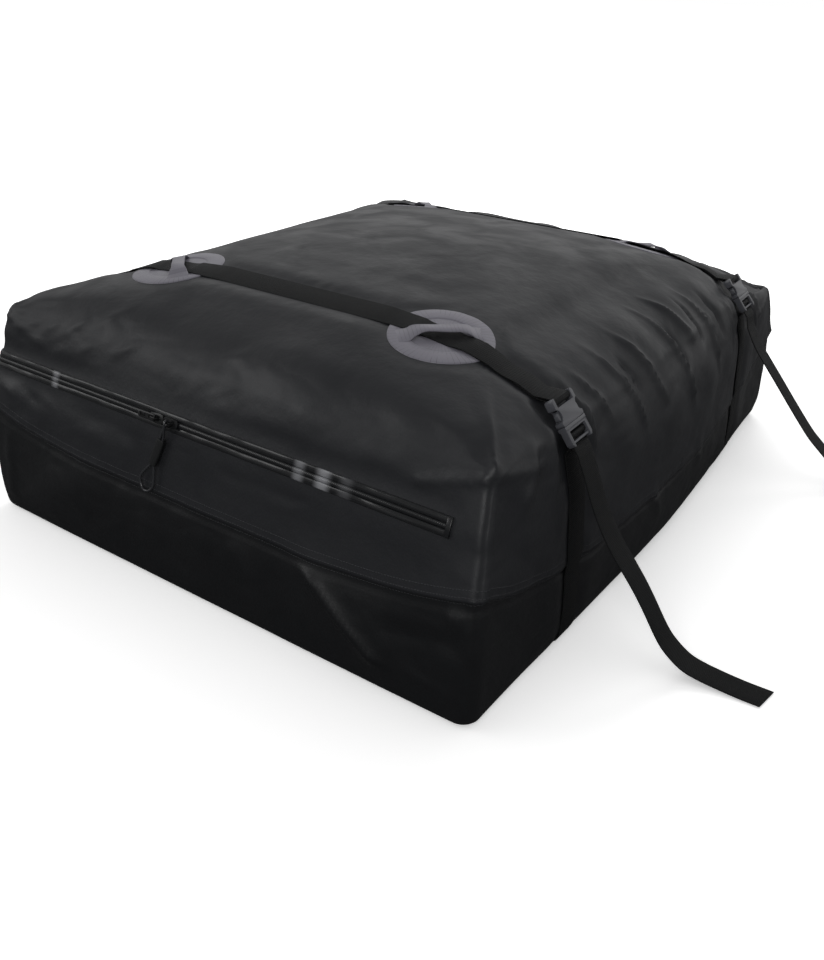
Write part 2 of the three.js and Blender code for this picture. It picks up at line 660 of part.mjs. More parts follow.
// Stations of a loose tail along its route, with a slanting cut at its end
function tailStations(route) {
  const curve = new THREE.CatmullRomCurve3(route, false, 'centripetal');
  const steps = 30;
  const half = STRAP_WIDTH / 2;
  return Array.from({ length: steps + 1 }, (_, i) => {
    const middle = curve.getPointAt(i / steps);
    const tangent = curve.getTangentAt(i / steps);
    const across = new THREE.Vector3(0, 1, 0).addScaledVector(tangent, -tangent.y).normalize();
    const slant = i === steps ? TAIL_SLANT : 0;
    const [left, right] = [-1, 1].map((side) => middle.clone()
      .addScaledVector(across, side * half).addScaledVector(tangent, side * slant));
    return { left, right, normal: new THREE.Vector3().crossVectors(across, tangent) };
  });
}

const cuts = [];
const strapCuts = [];
const BASE_JOIN = -17.5;
const LOCK_TURN_FROM = 266;
const LOCK_TURN_TO = 20;
for (const [place, y] of [['rear', STRAP_REAR_Y], ['front', STRAP_FRONT_Y]]) {
  const frame = buckleFrame(y);
  const half = STRAP_THICK / 2;
  const layer = STRAP_THICK + GAP;

  // Long run: sewn under itself, round the socket's bar, over the bag, down and under it
  const foldStart = frame.angleAt(-34);
  const foldEnd = frame.angleAt(-11);
  const overSewn = (degrees) =>
    layer * ease((foldStart + 1.4 - degrees) / 1.2) * ease((degrees - foldEnd + 4) / 2);
  const turn = turnRound(SOCKET_BAR_U, BUCKLE_THICK / 2, BAR_WIDTH / 2 + 2 * GAP + half,
    SOCKET_BAR_HEIGHT / 2 + 2 * GAP + half, -90, 90);
  turn.unshift([SOCKET_BAR_U - BAR_WIDTH, turn[0][1]]);
  turn.push([SOCKET_BAR_U - BAR_WIDTH, turn.at(-1)[1]]);
  const over = [
    ...wrapStations(y, anglesBetween(foldStart, foldEnd), 1),
    ...buckleStations(frame, y, turn),
    ...wrapStations(y, anglesBetween(foldEnd, FULL_TURN + BASE_JOIN), -1, overSewn),
  ];
  addMesh(`strap_${place}_over`, strapSolid(over), WEBBING);

  // Load run: up the side, under the plug's bars, round the locking bar and out below the end bar
  const lockReach = [BAR_WIDTH / 2 + 2 * GAP + half, LOCK_BAR_HEIGHT / 2 + GAP + half];
  const sideEnd = frame.angleAt(END_BAR_U + 9);
  const load = [
    ...wrapStations(y, anglesBetween(BASE_JOIN + 0.1, sideEnd), -1),
    ...buckleStations(frame, y, [
      [END_BAR_U + 2, LOAD_W], [LOCK_BAR_U + 1.4, LOAD_W],
      ...turnRound(LOCK_BAR_U, LOCK_BAR_W, ...lockReach, LOCK_TURN_FROM, LOCK_TURN_TO),
      [LOCK_BAR_U + BAR_WIDTH / 2 + 2.2, LOCK_BAR_W - 0.6], [END_BAR_U - 1.2, TAIL_W],
      [END_BAR_U + BAR_WIDTH / 2 + 1, TAIL_W],
    ]),
  ];
  addMesh(`strap_${place}_side`, strapSolid(load), WEBBING);
  strapCuts.push(strapCut(over), strapCut(load));

  // Loose tail of the webbing, from the end bar down to the floor
  const tailStart = END_BAR_U + BAR_WIDTH / 2 + 1 + GAP;
  const leaving = [0, 6, 13].map((reach) => frame.origin.clone()
    .addScaledVector(frame.u, tailStart + reach).addScaledVector(frame.w, TAIL_W + reach * 0.06));
  const hanging = (place === 'rear' ? TAIL_REAR : TAIL_FRONT)
    .map(([out, aside, z]) => new THREE.Vector3(BASE_WIDTH / 2 + out, y + aside, z));
  addMesh(`strap_${place}_tail`, strapSolid(tailStations([...leaving, ...hanging])), WEBBING);
  addMesh(`buckle_socket_${place}`, geometryOf(socketSolid()), BUCKLE_PLASTIC, frame.group);
  addMesh(`buckle_plug_${place}`, geometryOf(plugSolid()), BUCKLE_PLASTIC, frame.group);
  const cutter = block(-1, SOCKET_LENGTH + PLUG_LENGTH + 1, -BUCKLE_HALF - GAP, BUCKLE_HALF + GAP,
    -GAP, BUCKLE_THICK);
  cuts.push(inBag(cutter, frame.group));
}

// Height at which the underside of a flat strap lies over the top at a point
function strapBed(x, y, strapY) {
  const half = STRAP_WIDTH / 2;
  const [near, middle, far] = [-half, 0, half].map((off) => topHeight(x, strapY + off));
  const crown = Math.max(0, middle - (near + far) / 2);
  return mix(near, far, clamp01((y - strapY + half) / STRAP_WIDTH)) + crown;
}

// Round guide: a disc with a hole and a raised diagonal bridge that the strap passes under
function guideSolid(centreX, centreY, low, high, spread) {
  const steps = 32;
  const mirror = Math.sign(centreX);
  const point = (radius, turn, rise) => {
    const x = centreX + radius * Math.cos(turn);
    const y = centreY + radius * Math.sin(turn);
    return new THREE.Vector3(x, y, topHeight(x, y) + GAP + rise);
  };
  const [inner, outer] = [PATCH_HOLE - spread, PATCH_RADIUS + spread];
  const disc = loft(Array.from({ length: steps }, (_, i) => {
    const turn = (i / steps) * Math.PI * 2;
    const radii = [inner, (inner + outer) / 2, outer];
    return [...radii.map((r) => point(r, turn, low)),
      ...radii.reverse().map((r) => point(r, turn, high))];
  }), true);
  const along = THREE.MathUtils.degToRad(mirror > 0 ? BRIDGE_ANGLE : 180 - BRIDGE_ANGLE);
  const direction = new THREE.Vector2(Math.cos(along), Math.sin(along));
  const end = (PATCH_HOLE + 7) / PATCH_HOLE;
  const stations = 16;
  const bridge = loft(Array.from({ length: stations + 1 }, (_, i) => {
    const t = mix(-end, end, i / stations);
    const rise = BRIDGE_RISE * (1 - Math.min(1, Math.abs(t)) ** 6);
    return [[-1, low], [1, low], [1, high], [-1, high]].map(([side, face]) => {
      const offset = side * (BRIDGE_WIDTH / 2 + spread);
      const x = centreX + direction.x * t * PATCH_HOLE - direction.y * offset;
      const y = centreY + direction.y * t * PATCH_HOLE + direction.x * offset;
      const bare = topHeight(x, y);
      const pastStrap = (Math.abs(y - centreY) - STRAP_WIDTH / 2) / (PATCH_HOLE * 0.25);
      const bed = Math.max(0, strapBed(x, y, centreY) - bare) * (1 - ease(pastStrap));
      return new THREE.Vector3(x, y, bare + bed + GAP + rise + face);
    });
  }));
  return { disc: solidOf(disc), bridge: solidOf(bridge) };
}

for (const [end, y] of [['rear', STRAP_REAR_Y], ['front', STRAP_FRONT_Y]]) {
  for (const [side, x] of [['right', PATCH_X], ['left', -PATCH_X]]) {
    const { disc, bridge } = guideSolid(x, y, GAP, PATCH_THICK, 0);
    const room = guideSolid(x, y, -3 * GAP, PATCH_THICK + BRIDGE_RISE, GAP);
    cuts.push(room.disc, room.bridge);
    let guide = disc.add(bridge);
    strapCuts.forEach((cut) => {
      guide = guide.subtract(cut);
    });
    addMesh(`strap_guide_${end}_${side}`, geometryOf(guide), GREY_VINYL);
  }
}

// Zip: the band's stations run from the left side round the corner to the rear wall's right end
function zipStations() {
  const [low, high] = [ZIP_HEIGHT - ZIP_BAND / 2, ZIP_HEIGHT + ZIP_BAND / 2];
  const corner = wallPoint(REAR_LEFT_CORNER, ZIP_HEIGHT);
  const stations = [];
  const add = (lower, upper, tangent) => {
    const up = upper.clone().sub(lower).normalize();
    stations.push({ lower, up, out: new THREE.Vector3().crossVectors(tangent, up).normalize() });
  };
  const sideSteps = 4;
  const endY = STRAP_REAR_Y - STRAP_WIDTH / 2 - ZIP_TO_STRAP - ZIP_STOP_LENGTH - GAP;
  for (let i = 0; i < sideSteps; i++) {
    const y = mix(endY, corner.y, i / sideSteps);
    let column = REAR_LEFT_CORNER;
    while (wallPoint(column, ZIP_HEIGHT).y < y) column -= 0.01;
    add(wallPoint(column, low), wallPoint(column, high), new THREE.Vector3(0, -1, 0));
  }
  for (let i = 0; i <= 2 * CORNER_COLUMNS; i++) {
    const column = REAR_LEFT_CORNER + i / 2;
    const turn = (i / (2 * CORNER_COLUMNS)) * Math.PI / 2;
    add(wallPoint(column, low), wallPoint(column, high),
      new THREE.Vector3(Math.sin(turn), -Math.cos(turn), 0));
  }
  const rearStart = stations.at(-1).lower.x;
  const rearSteps = 6;
  for (let i = 1; i <= rearSteps; i++) {
    const x = mix(rearStart, ZIP_RIGHT_END, i / rearSteps);
    add(rearPoint(x, low), rearPoint(x, high), new THREE.Vector3(1, 0, 0));
  }
  return stations;
}

const zipPath = zipStations();
const zipSweep = (profile, path = zipPath) => loft(path.map(({ lower, up, out }) =>
  profile.map(([a, w]) => lower.clone().addScaledVector(up, a).addScaledVector(out, w))));

// A ridge with a flat back and a round top, across the band from one place to another
function ridge(from, to, rise) {
  const points = [[from, GAP], [to, GAP]];
  const edge = rise * 0.4;
  for (let i = 0; i <= 6; i++) {
    const turn = (i / 6) * Math.PI;
    const middle = (from + to) / 2;
    points.push([middle + Math.cos(turn) * (to - from) / 2,
      GAP + edge + (rise - edge) * Math.sin(turn)]);
  }
  return points;
}

const chainLow = (ZIP_BAND - ZIP_CHAIN_WIDTH) / 2;
const chainHigh = (ZIP_BAND + ZIP_CHAIN_WIDTH) / 2;
addMesh('zip_tape_lower', zipSweep(ridge(0, chainLow - GAP, ZIP_TAPE_RISE)), ZIP_COATING);
addMesh('zip_tape_upper', zipSweep(ridge(chainHigh + GAP, ZIP_BAND, ZIP_TAPE_RISE)), ZIP_COATING);
addMesh('zip_chain', zipSweep(ridge(chainLow, chainHigh, ZIP_CHAIN_RISE)), ZIP_COATING);

function shifted({ lower, up, out }, by) {
  return { lower: lower.clone().add(by), up, out };
}
const stopProfile = [[0, GAP], [ZIP_BAND, GAP], [ZIP_BAND, 2.4], [ZIP_BAND - 2, ZIP_CHAIN_RISE + 0.8],
  [2, ZIP_CHAIN_RISE + 0.8], [0, 2.4]];
for (const [side, station, direction] of [
  ['right', zipPath.at(-1), new THREE.Vector3(1, 0, 0)],
  ['left', zipPath[0], zipPath[0].lower.clone().sub(zipPath[1].lower).normalize()],
]) {
  const path = [GAP, GAP + ZIP_STOP_LENGTH].map((reach) =>
    shifted(station, direction.clone().multiplyScalar(reach)));
  addMesh(`zip_end_${side}`, zipSweep(stopProfile, path), ZIP_COATING);
  const cutPath = [-1, 2 * GAP + ZIP_STOP_LENGTH].map((reach) =>
    shifted(station, direction.clone().multiplyScalar(reach)));
  cuts.push(solidOf(zipSweep([[-GAP, 0], [ZIP_BAND + GAP, 0], [ZIP_BAND + GAP, 8], [-GAP, 8]], cutPath)));
}
cuts.push(solidOf(zipSweep([[-GAP, 0], [ZIP_BAND + GAP, 0], [ZIP_BAND + GAP, 8], [-GAP, 8]])));

// Sliders: x along the chain, a up across the band, w outwards, w 0 on the band's back
const roofLow = GAP + ZIP_CHAIN_RISE + GAP + 0.1;
const roofHigh = roofLow + SLIDER_PLATE;
const bailLow = roofHigh + BAIL_OPENING;
const BAIL_W = bailLow + BAIL_WIRE / 2;

function sliderFrame(x) {
  const lower = rearPoint(x, ZIP_HEIGHT - ZIP_BAND / 2);
  const up = rearPoint(x, ZIP_HEIGHT + ZIP_BAND / 2).sub(lower).normalize();
  const right = new THREE.Vector3(1, 0, 0);
  const out = new THREE.Vector3().crossVectors(right, up);
  return frameGroup(right, up, out, lower.addScaledVector(up, ZIP_BAND / 2));
}

// The head of the wedge points along the given direction
function sliderSolid(facing) {
  const half = SLIDER_LENGTH / 2;
  const outline = [[-half, -SLIDER_TAIL / 2 + 1.5], [-half + 1.5, -SLIDER_TAIL / 2],
    [half - 8, -SLIDER_HEAD / 2], [half - 2, -SLIDER_HEAD / 2 + 1], [half, -SLIDER_HEAD / 2 + 4]];
  const whole = [...outline, ...outline.map(([u, v]) => [u, -v]).reverse()]
    .map(([u, v]) => [u * facing, v]);
  const flangeLow = GAP + ZIP_TAPE_RISE + 2.5 * GAP;
  let body = plate(whole, roofLow, roofHigh).add(plate(whole, flangeLow, roofLow + 0.1)
    .subtract(block(-half - 1, half + 1, -ZIP_CHAIN_WIDTH / 2 - 0.5, ZIP_CHAIN_WIDTH / 2 + 0.5,
      flangeLow - 1, roofLow)));
  const arch = [[-BAIL_LENGTH / 2, roofHigh - 0.5], [BAIL_LENGTH / 2, roofHigh - 0.5],
    [BAIL_LENGTH / 2, roofHigh + 2], [BAIL_LENGTH / 2 - 2, bailLow + BAIL_WIRE],
    [2 - BAIL_LENGTH / 2, bailLow + BAIL_WIRE], [-BAIL_LENGTH / 2, roofHigh + 2]];
  const opening = [[2 - BAIL_LENGTH / 2, roofHigh], [BAIL_LENGTH / 2 - 2, roofHigh],
    [BAIL_LENGTH / 2 - 2, bailLow - 1.4], [BAIL_LENGTH / 2 - 3, bailLow],
    [3 - BAIL_LENGTH / 2, bailLow], [2 - BAIL_LENGTH / 2, bailLow - 1.4]];
  const upright = (points) => solidOf(new THREE.ExtrudeGeometry(
    new THREE.Shape(points.map(([x, w]) => new THREE.Vector2(x, w))),
    { depth: BAIL_WIDTH, bevelEnabled: false },
  ).rotateX(Math.PI / 2).translate(0, BAIL_WIDTH / 2, 0));
  const hollow = solidOf(new THREE.ExtrudeGeometry(
    new THREE.Shape(opening.map(([x, w]) => new THREE.Vector2(x, w))),
    { depth: BAIL_WIDTH + 2, bevelEnabled: false },
  ).rotateX(Math.PI / 2).translate(0, BAIL_WIDTH / 2 + 1, 0));
  return body.add(upright(arch).subtract(hollow));
}

const rightSlider = sliderFrame(SLIDER_MEETING + GAP + SLIDER_LENGTH / 2);
const leftSlider = sliderFrame(SLIDER_MEETING - GAP - SLIDER_LENGTH / 2);
addMesh('zip_slider_right', geometryOf(sliderSolid(-1)), DARK_METAL, rightSlider);
addMesh('zip_slider_left', geometryOf(sliderSolid(1)), DARK_METAL, leftSlider);

// Metal tab of the left slider: an eye bar under the bail, the plate lies along the chain
const EYE_RADIUS = 1.5;
const tabBarW = bailLow - GAP - EYE_RADIUS;
function tabSolid() {
  const eyeX = 0;
  const bar = solidOf(new THREE.CylinderGeometry(EYE_RADIUS, EYE_RADIUS, TAB_WIDTH, 12)
    .translate(eyeX, 0, tabBarW));
  const outline = [[eyeX, -TAB_WIDTH / 2], [eyeX, TAB_WIDTH / 2],
    [eyeX - TAB_LENGTH + 3, TAB_WIDTH / 2], [eyeX - TAB_LENGTH, TAB_WIDTH / 2 - 3],
    [eyeX - TAB_LENGTH, 3 - TAB_WIDTH / 2], [eyeX - TAB_LENGTH + 3, -TAB_WIDTH / 2]];
  const window = rectangle(eyeX - 9.5, eyeX + 3, -BAIL_WIDTH / 2 - 1, BAIL_WIDTH / 2 + 1);
  const hole = rectangle(eyeX - TAB_LENGTH + 4, eyeX - 15, -2.2, 2.2);
  const plateLow = tabBarW - TAB_THICK / 2;
  return plate(outline, plateLow, plateLow + TAB_THICK)
    .subtract(plate(window, plateLow - 1, plateLow + TAB_THICK + 1))
    .subtract(plate(hole, plateLow - 1, plateLow + TAB_THICK + 1))
    .add(bar);
}
addMesh('zip_pull_tab', geometryOf(tabSolid()), DARK_METAL, leftSlider);

// Cord pull of the right slider: one closed loop of cord through the bail, opened at its foot.
// It hangs clear of the wall's outermost place along the slider's whole travel.
function pullRoute() {
  const lastX = ZIP_RIGHT_END - SLIDER_LENGTH;
  const top = new THREE.Vector3(0, 0, BAIL_W).applyMatrix4(rightSlider.matrixWorld);
  const lean = THREE.MathUtils.degToRad(PULL_LEAN);
  const onFace = (reach, aside, rise) => {
    const x = top.x - reach * Math.sin(lean) + aside * Math.cos(lean);
    const z = top.z - reach * Math.cos(lean) - aside * Math.sin(lean);
    const p = rearPoint(x, z);
    for (let i = 1; i <= 14; i++) p.y = Math.min(p.y, rearPoint(mix(x, lastX, i / 14), z).y);
    p.y -= rise + 2 * GAP;
    return p;
  };
  const local = (x, a, w) => new THREE.Vector3(x, a, w).applyMatrix4(rightSlider.matrixWorld);
  const legs = CORD_RADIUS + 0.8;
  const loopTop = PULL_REACH;
  const loopHalf = PULL_LOOP_WIDTH / 2;
  const h = PULL_LOOP_HEIGHT;
  const rest = CORD_RADIUS + 1;
  const turnRadius = Math.hypot(BAIL_WIDTH, BAIL_WIRE) / 2 + CORD_RADIUS + 0.4;
  const points = [
    ...[-50, -10, 30, 75, 120, 165, 205].map((degrees, i) => {
      const turn = THREE.MathUtils.degToRad(degrees);
      return local(0.2 * i - 0.7, turnRadius * Math.sin(turn), BAIL_W - turnRadius * Math.cos(turn));
    }),
    onFace(10, legs, 12.4), onFace(20, legs, 8), onFace(34, legs, 5.5), onFace(52, legs, 4.5),
    onFace(loopTop - 6, legs, rest + 1), onFace(loopTop + h * 0.28, loopHalf * 0.75, rest),
    onFace(loopTop + h * 0.62, loopHalf, rest), onFace(loopTop + h * 0.9, loopHalf * 0.62, rest),
    onFace(loopTop + h, 0, rest), onFace(loopTop + h * 0.9, -loopHalf * 0.62, rest),
    onFace(loopTop + h * 0.62, -loopHalf, rest), onFace(loopTop + h * 0.28, -loopHalf * 0.75, rest),
    onFace(loopTop - 6, -legs, rest + 1), onFace(52, -legs, 4.5), onFace(34, -legs, 5.5),
    onFace(20, -legs, 7.5), onFace(12, -legs, 8.6),
  ];
  return { curve: new THREE.CatmullRomCurve3(points, true, 'centripetal'), onFace };
}

function closedTube(curve, radius, steps, sides = 8) {
  const frames = curve.computeFrenetFrames(steps, true);
  return loft(Array.from({ length: steps }, (_, i) => {
    const p = curve.getPointAt(i / steps);
    return Array.from({ length: sides }, (__, j) => {
      const turn = (j / sides) * Math.PI * 2;
      return p.clone().addScaledVector(frames.normals[i], radius * Math.cos(turn))
        .addScaledVector(frames.binormals[i], radius * Math.sin(turn));
    });
  }), true);
}

const { curve: pullCurve, onFace } = pullRoute();
addMesh('pull_cord', closedTube(pullCurve, CORD_RADIUS, 72), ZIP_COATING);

// Moulded grip over the two legs of the cord
function gripSolid() {
  const start = 27;
  const rings = [0, 0.06, 0.5, 0.94, 1].map((t, i) => {
    const middle = onFace(start + GRIP_LENGTH * t, 0, mix(6.3, 4.2, t));
    const next = onFace(start + GRIP_LENGTH * t + 1, 0, mix(6.3, 4.2, t));
    const down = next.clone().sub(middle).normalize();
    const across = new THREE.Vector3().crossVectors(down, new THREE.Vector3(0, -1, 0)).normalize();
    const out = new THREE.Vector3().crossVectors(across, down);
    const scale = [0.78, 1, 1.06, 1, 0.78][i];
    return Array.from({ length: 12 }, (_, j) => {
      const turn = ((j + 0.5) / 12) * Math.PI * 2;
      const round = (value) => Math.sign(value) * Math.abs(value) ** 0.5;
      return middle.clone().addScaledVector(across, round(Math.cos(turn)) * scale * GRIP_WIDTH / 2)
        .addScaledVector(out, round(Math.sin(turn)) * GRIP_THICK / 2);
    });
  });
  return solidOf(loft(rings)).subtract(solidOf(closedTube(pullCurve, CORD_RADIUS + GAP, 72)));
}
addMesh('pull_grip', geometryOf(gripSolid()), ZIP_COATING);

// The bag gives way under what lies on it
let bag = solidOf(loft(ROWS));
for (const cut of [...strapCuts, ...cuts]) bag = bag.subtract(cut);
const [largest] = bag.decompose().sort((a, b) => b.volume() - a.volume());
addMesh('bag_body', geometryOf(largest), COATED_CLOTH);

export default part;
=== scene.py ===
# %% [markdown]
# # A packed roof cargo bag
# The bag is coated cloth stuffed full of soft luggage and held down by two webbing straps. The
# plain solids come in first: they fix where everything sits, and each is dressed below.

import math

import bpy
import numpy as np
from mathutils import Matrix, Vector, noise
from mathutils.bvhtree import BVHTree
from numpy.linalg import norm


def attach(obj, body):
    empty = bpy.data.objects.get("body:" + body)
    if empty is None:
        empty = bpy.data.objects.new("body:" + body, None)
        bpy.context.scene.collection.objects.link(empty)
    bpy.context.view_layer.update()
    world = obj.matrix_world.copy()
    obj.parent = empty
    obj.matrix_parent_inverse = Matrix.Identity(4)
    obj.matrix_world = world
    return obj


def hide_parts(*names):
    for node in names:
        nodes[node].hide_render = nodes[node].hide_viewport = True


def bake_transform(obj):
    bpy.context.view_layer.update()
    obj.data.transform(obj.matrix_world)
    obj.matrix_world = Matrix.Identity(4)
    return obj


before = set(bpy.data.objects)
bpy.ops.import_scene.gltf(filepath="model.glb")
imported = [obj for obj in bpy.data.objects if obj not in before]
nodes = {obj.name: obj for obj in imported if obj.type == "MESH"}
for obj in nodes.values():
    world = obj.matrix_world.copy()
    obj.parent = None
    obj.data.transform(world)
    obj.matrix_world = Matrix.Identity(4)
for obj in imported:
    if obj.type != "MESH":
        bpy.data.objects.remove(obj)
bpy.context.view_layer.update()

# %% [markdown]
# ## Camera
# The photograph was taken from beyond the bag's right rear corner, looking down. The place,
# heading, tilt and lens were worked out from the straight edges of the bag's base.

# %% Camera
CAMERA_PLACE = Vector((0.7939, -1.2491, 0.7542))
HEADING, TILT, ROLL = -0.5815, 0.5028, 0.0348
LENS = 34.06

scene = bpy.context.scene
camera_data = bpy.data.cameras.new("camera")
camera_data.lens = LENS
camera_data.sensor_width = 36
camera = bpy.data.objects.new("camera", camera_data)
scene.collection.objects.link(camera)
scene.camera = camera
ahead = Vector((math.sin(HEADING) * math.cos(TILT), math.cos(HEADING) * math.cos(TILT),
                -math.sin(TILT)))
level_right = ahead.cross(Vector((0, 0, 1))).normalized()
level_up = level_right.cross(ahead)
right = level_right * math.cos(ROLL) + level_up * math.sin(ROLL)
up = level_up * math.cos(ROLL) - level_right * math.sin(ROLL)
camera.matrix_world = Matrix((right, up, -ahead)).transposed().to_4x4()
camera.location = CAMERA_PLACE
print("camera looks along", [round(v, 3) for v in ahead])

# %% [markdown]
# ## Helpers
# Colours are written in hex, as they look on a screen, and one function turns them to linear
# values. Another adds a shader node, sets it and links it, and the short ones after it name what
# the materials need again and again.


# %% Colour and shader helpers
def linear(hex_colour):
    channels = [int(hex_colour[i:i + 2], 16) / 255 for i in (1, 3, 5)]
    return [c / 12.92 if c <= 0.04045 else ((c + 0.055) / 1.055) ** 2.4 for c in channels] + [1.0]


def add(tree, kind, settings=None, **inputs):
    """Adds a shader node. An input goes by its name, with _ for a space, or by i and its number."""
    made = tree.nodes.new("ShaderNode" + kind)
    for key, value in (settings or {}).items():
        setattr(made, key, value)
    for key, value in inputs.items():
        numbered = key[0] == "i" and key[1:].isdigit()
        socket = made.inputs[int(key[1:]) if numbered else key.replace("_", " ")]
        if isinstance(value, bpy.types.NodeSocket):
            tree.links.new(value, socket)
        else:
            socket.default_value = value
    return made


def calc(tree, operation, *values):
    """The result of a maths node."""
    inputs = {f"i{number}": value for number, value in enumerate(values)}
    return add(tree, "Math", {"operation": operation}, **inputs).outputs[0]


def off_by(tree, value, at):
    return calc(tree, "ABSOLUTE", calc(tree, "SUBTRACT", value, at))


def largest(tree, links):
    most = links[0]
    for link in links[1:]:
        most = calc(tree, "MAXIMUM", most, link)
    return most


def ramp(tree, value, first, last, to_first=0.0, to_last=1.0, kind="LINEAR"):
    """Goes from to_first to to_last while the value goes from first to last."""
    return add(tree, "MapRange", {"interpolation_type": kind}, Value=value,
               From_Min=first, From_Max=last, To_Min=to_first, To_Max=to_last).outputs[0]


def wave(tree, length, pitch):
    """A ripple that comes back every pitch metres along a length."""
    return calc(tree, "SINE", calc(tree, "MULTIPLY", length, 2 * math.pi / pitch))


def clouds(tree, scale, detail, **inputs):
    """Soft noise. The larger the scale, the finer it is."""
    return add(tree, "TexNoise", Scale=scale, Detail=detail, **inputs).outputs["Fac"]


def own_place(tree):
    return add(tree, "TexCoord").outputs["Object"]


def own_map(tree):
    return add(tree, "UVMap", {"uv_map": "UVMap"}).outputs[0]


def axes(tree, place):
    return add(tree, "SeparateXYZ", Vector=place).outputs


def relief(tree, surface, layers):
    """Bumps on a surface, each over the one before: its strength, depth in metres and height."""
    target = surface.inputs["Normal"]
    for strength, depth, height in layers:
        bump = add(tree, "Bump", Strength=strength, Distance=depth, Height=height)
        if target.is_linked:
            tree.links.new(target.links[0].from_socket, bump.inputs["Normal"])
        tree.links.new(bump.outputs["Normal"], target)


def two_tone(tree, surface, factor, first, second):
    """Colours a surface from one hex colour to another, as a factor goes from 0 to 1."""
    tint = add(tree, "Mix", {"data_type": "RGBA"}, Factor=factor,
               i6=linear(first), i7=linear(second))
    tree.links.new(tint.outputs[2], surface.inputs["Base Color"])


# %% Materials and meshes
def new_material(name, hex_colour, roughness, **inputs):
    """A material with one surface shader. Returns the material, its tree and the shader."""
    material = bpy.data.materials.new(name)
    material.use_nodes = True
    tree = material.node_tree
    surface = tree.nodes["Principled BSDF"]
    surface.inputs["Base Color"].default_value = linear(hex_colour)
    surface.inputs["Roughness"].default_value = roughness
    for key, value in inputs.items():
        surface.inputs[key.replace("_", " ")].default_value = value
    return material, tree, surface


def band_faces(count, columns, first=0, caps=()):
    """Faces between closed loops of points, with caps at the first or the last."""
    faces = [(first + i * columns + j, first + i * columns + (j + 1) % columns,
              first + (i + 1) * columns + (j + 1) % columns, first + (i + 1) * columns + j)
             for i in range(count - 1) for j in range(columns)]
    if "first" in caps:
        faces.append(tuple(range(columns))[::-1])
    if "last" in caps:
        faces.append(tuple(range((count - 1) * columns, count * columns)))
    return faces


def new_mesh(name, points, faces, material, body, replaced=(), uv=None, smooth=True):
    """A mesh in the row frame that moves with a body."""
    mesh = bpy.data.meshes.new(name)
    mesh.from_pydata([tuple(p) for p in points], [], [tuple(f) for f in faces])
    mesh.polygons.foreach_set("use_smooth", [smooth] * len(mesh.polygons))
    if uv is not None:
        layer = mesh.uv_layers.new(name="UVMap")
        corners = np.zeros(len(mesh.loops), int)
        mesh.loops.foreach_get("vertex_index", corners)
        layer.data.foreach_set("uv", np.asarray(uv, float)[corners].ravel())
    mesh.update()
    piece = bpy.data.objects.new(name, mesh)
    scene.collection.objects.link(piece)
    piece.data.materials.append(material)
    if replaced:
        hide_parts(*replaced)
    if body:
        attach(piece, body)
    return piece


# %% [markdown]
# ## The loose strap tails
# Polypropylene webbing, 38 mm wide and almost 2 mm thick, falls from each buckle to the floor.
# Each tail is swept along its own route as a flat band with rounded edges, and the surface's map
# runs along it, so that the weave follows.

# %% Webbing material
WEB_WIDTH = 0.038
WEB_THICK = 0.0018
WEFT_PITCH = 0.0022
WARP_PITCH = 0.0019
WEB_COLOUR = "#0f1011"


def webbing_material(name, along, across):
    """Woven webbing. along and across give links to the two lengths in metres."""
    material, tree, surface = new_material(name, WEB_COLOUR, 0.6, Specular_IOR_Level=0.25)
    ribs = wave(tree, along(tree), WEFT_PITCH)
    rows = wave(tree, across(tree), WARP_PITCH)
    weave = calc(tree, "MULTIPLY_ADD", ribs, rows, ribs)
    relief(tree, surface, [(0.5, 0.0003, calc(tree, "ADD", weave, clouds(tree, 900.0, 3.0)))])
    shade = add(tree, "VectorMath", {"operation": "SCALE"}, i0=linear(WEB_COLOUR)[:3],
                Scale=ramp(tree, weave, -1.5, 1.5, 0.75, 1.2))
    tree.links.new(shade.outputs[0], surface.inputs["Base Color"])
    return material


def map_part(axis):
    """A link to one axis of the surface's own map."""
    return lambda tree: axes(tree, own_map(tree))[axis]


tail_webbing = webbing_material("polypropylene_webbing_tail", map_part("X"), map_part("Y"))
print("weft every", WEFT_PITCH * 1000, "mm")

# %% Tail routes
TAIL_ROUTES = {
    "rear": [(448, -337.5, 250), (463, -336, 213), (480, -334, 180), (497, -331, 153),
             (514, -328, 130), (529, -325, 108), (543, -322, 85), (556, -319, 62),
             (568, -316, 43), (582, -313, 28), (598, -310, 16), (616, -307, 9.5),
             (640, -304, 5), (668, -302, 2.4), (697, -300, 1.4)],
    "front": [(444, 330.5, 250), (463, 331, 219), (483, 331.5, 195), (503, 332, 172),
              (521, 332.5, 151), (539, 333, 130), (560, 333.5, 106), (582, 334, 82),
              (600, 334.5, 66), (618, 335, 51), (640, 335.5, 34), (664, 336, 18.5),
              (690, 336.5, 8), (718, 337, 3), (746, 337.5, 1.4)],
}
PLUG_WAY = {"rear": Vector((0.6013849, 0, -0.7989594)), "front": Vector((0.6421304, 0, -0.7665954))}
TAIL_EXIT = {"rear": Vector((0.42868, -0.338, 0.28556)), "front": Vector((0.43110, 0.330, 0.27741))}


FINE_STEPS = 24
# across the band and through it, each as a share of its half
HALF_BAND = [(-1, 0), (-0.97, 0.75), (-0.9, 1), (-0.45, 1.08), (0, 1), (0.45, 1.08), (0.9, 1),
             (0.97, 0.75)]
BAND_EDGE = HALF_BAND + [(-side, -face) for side, face in HALF_BAND]


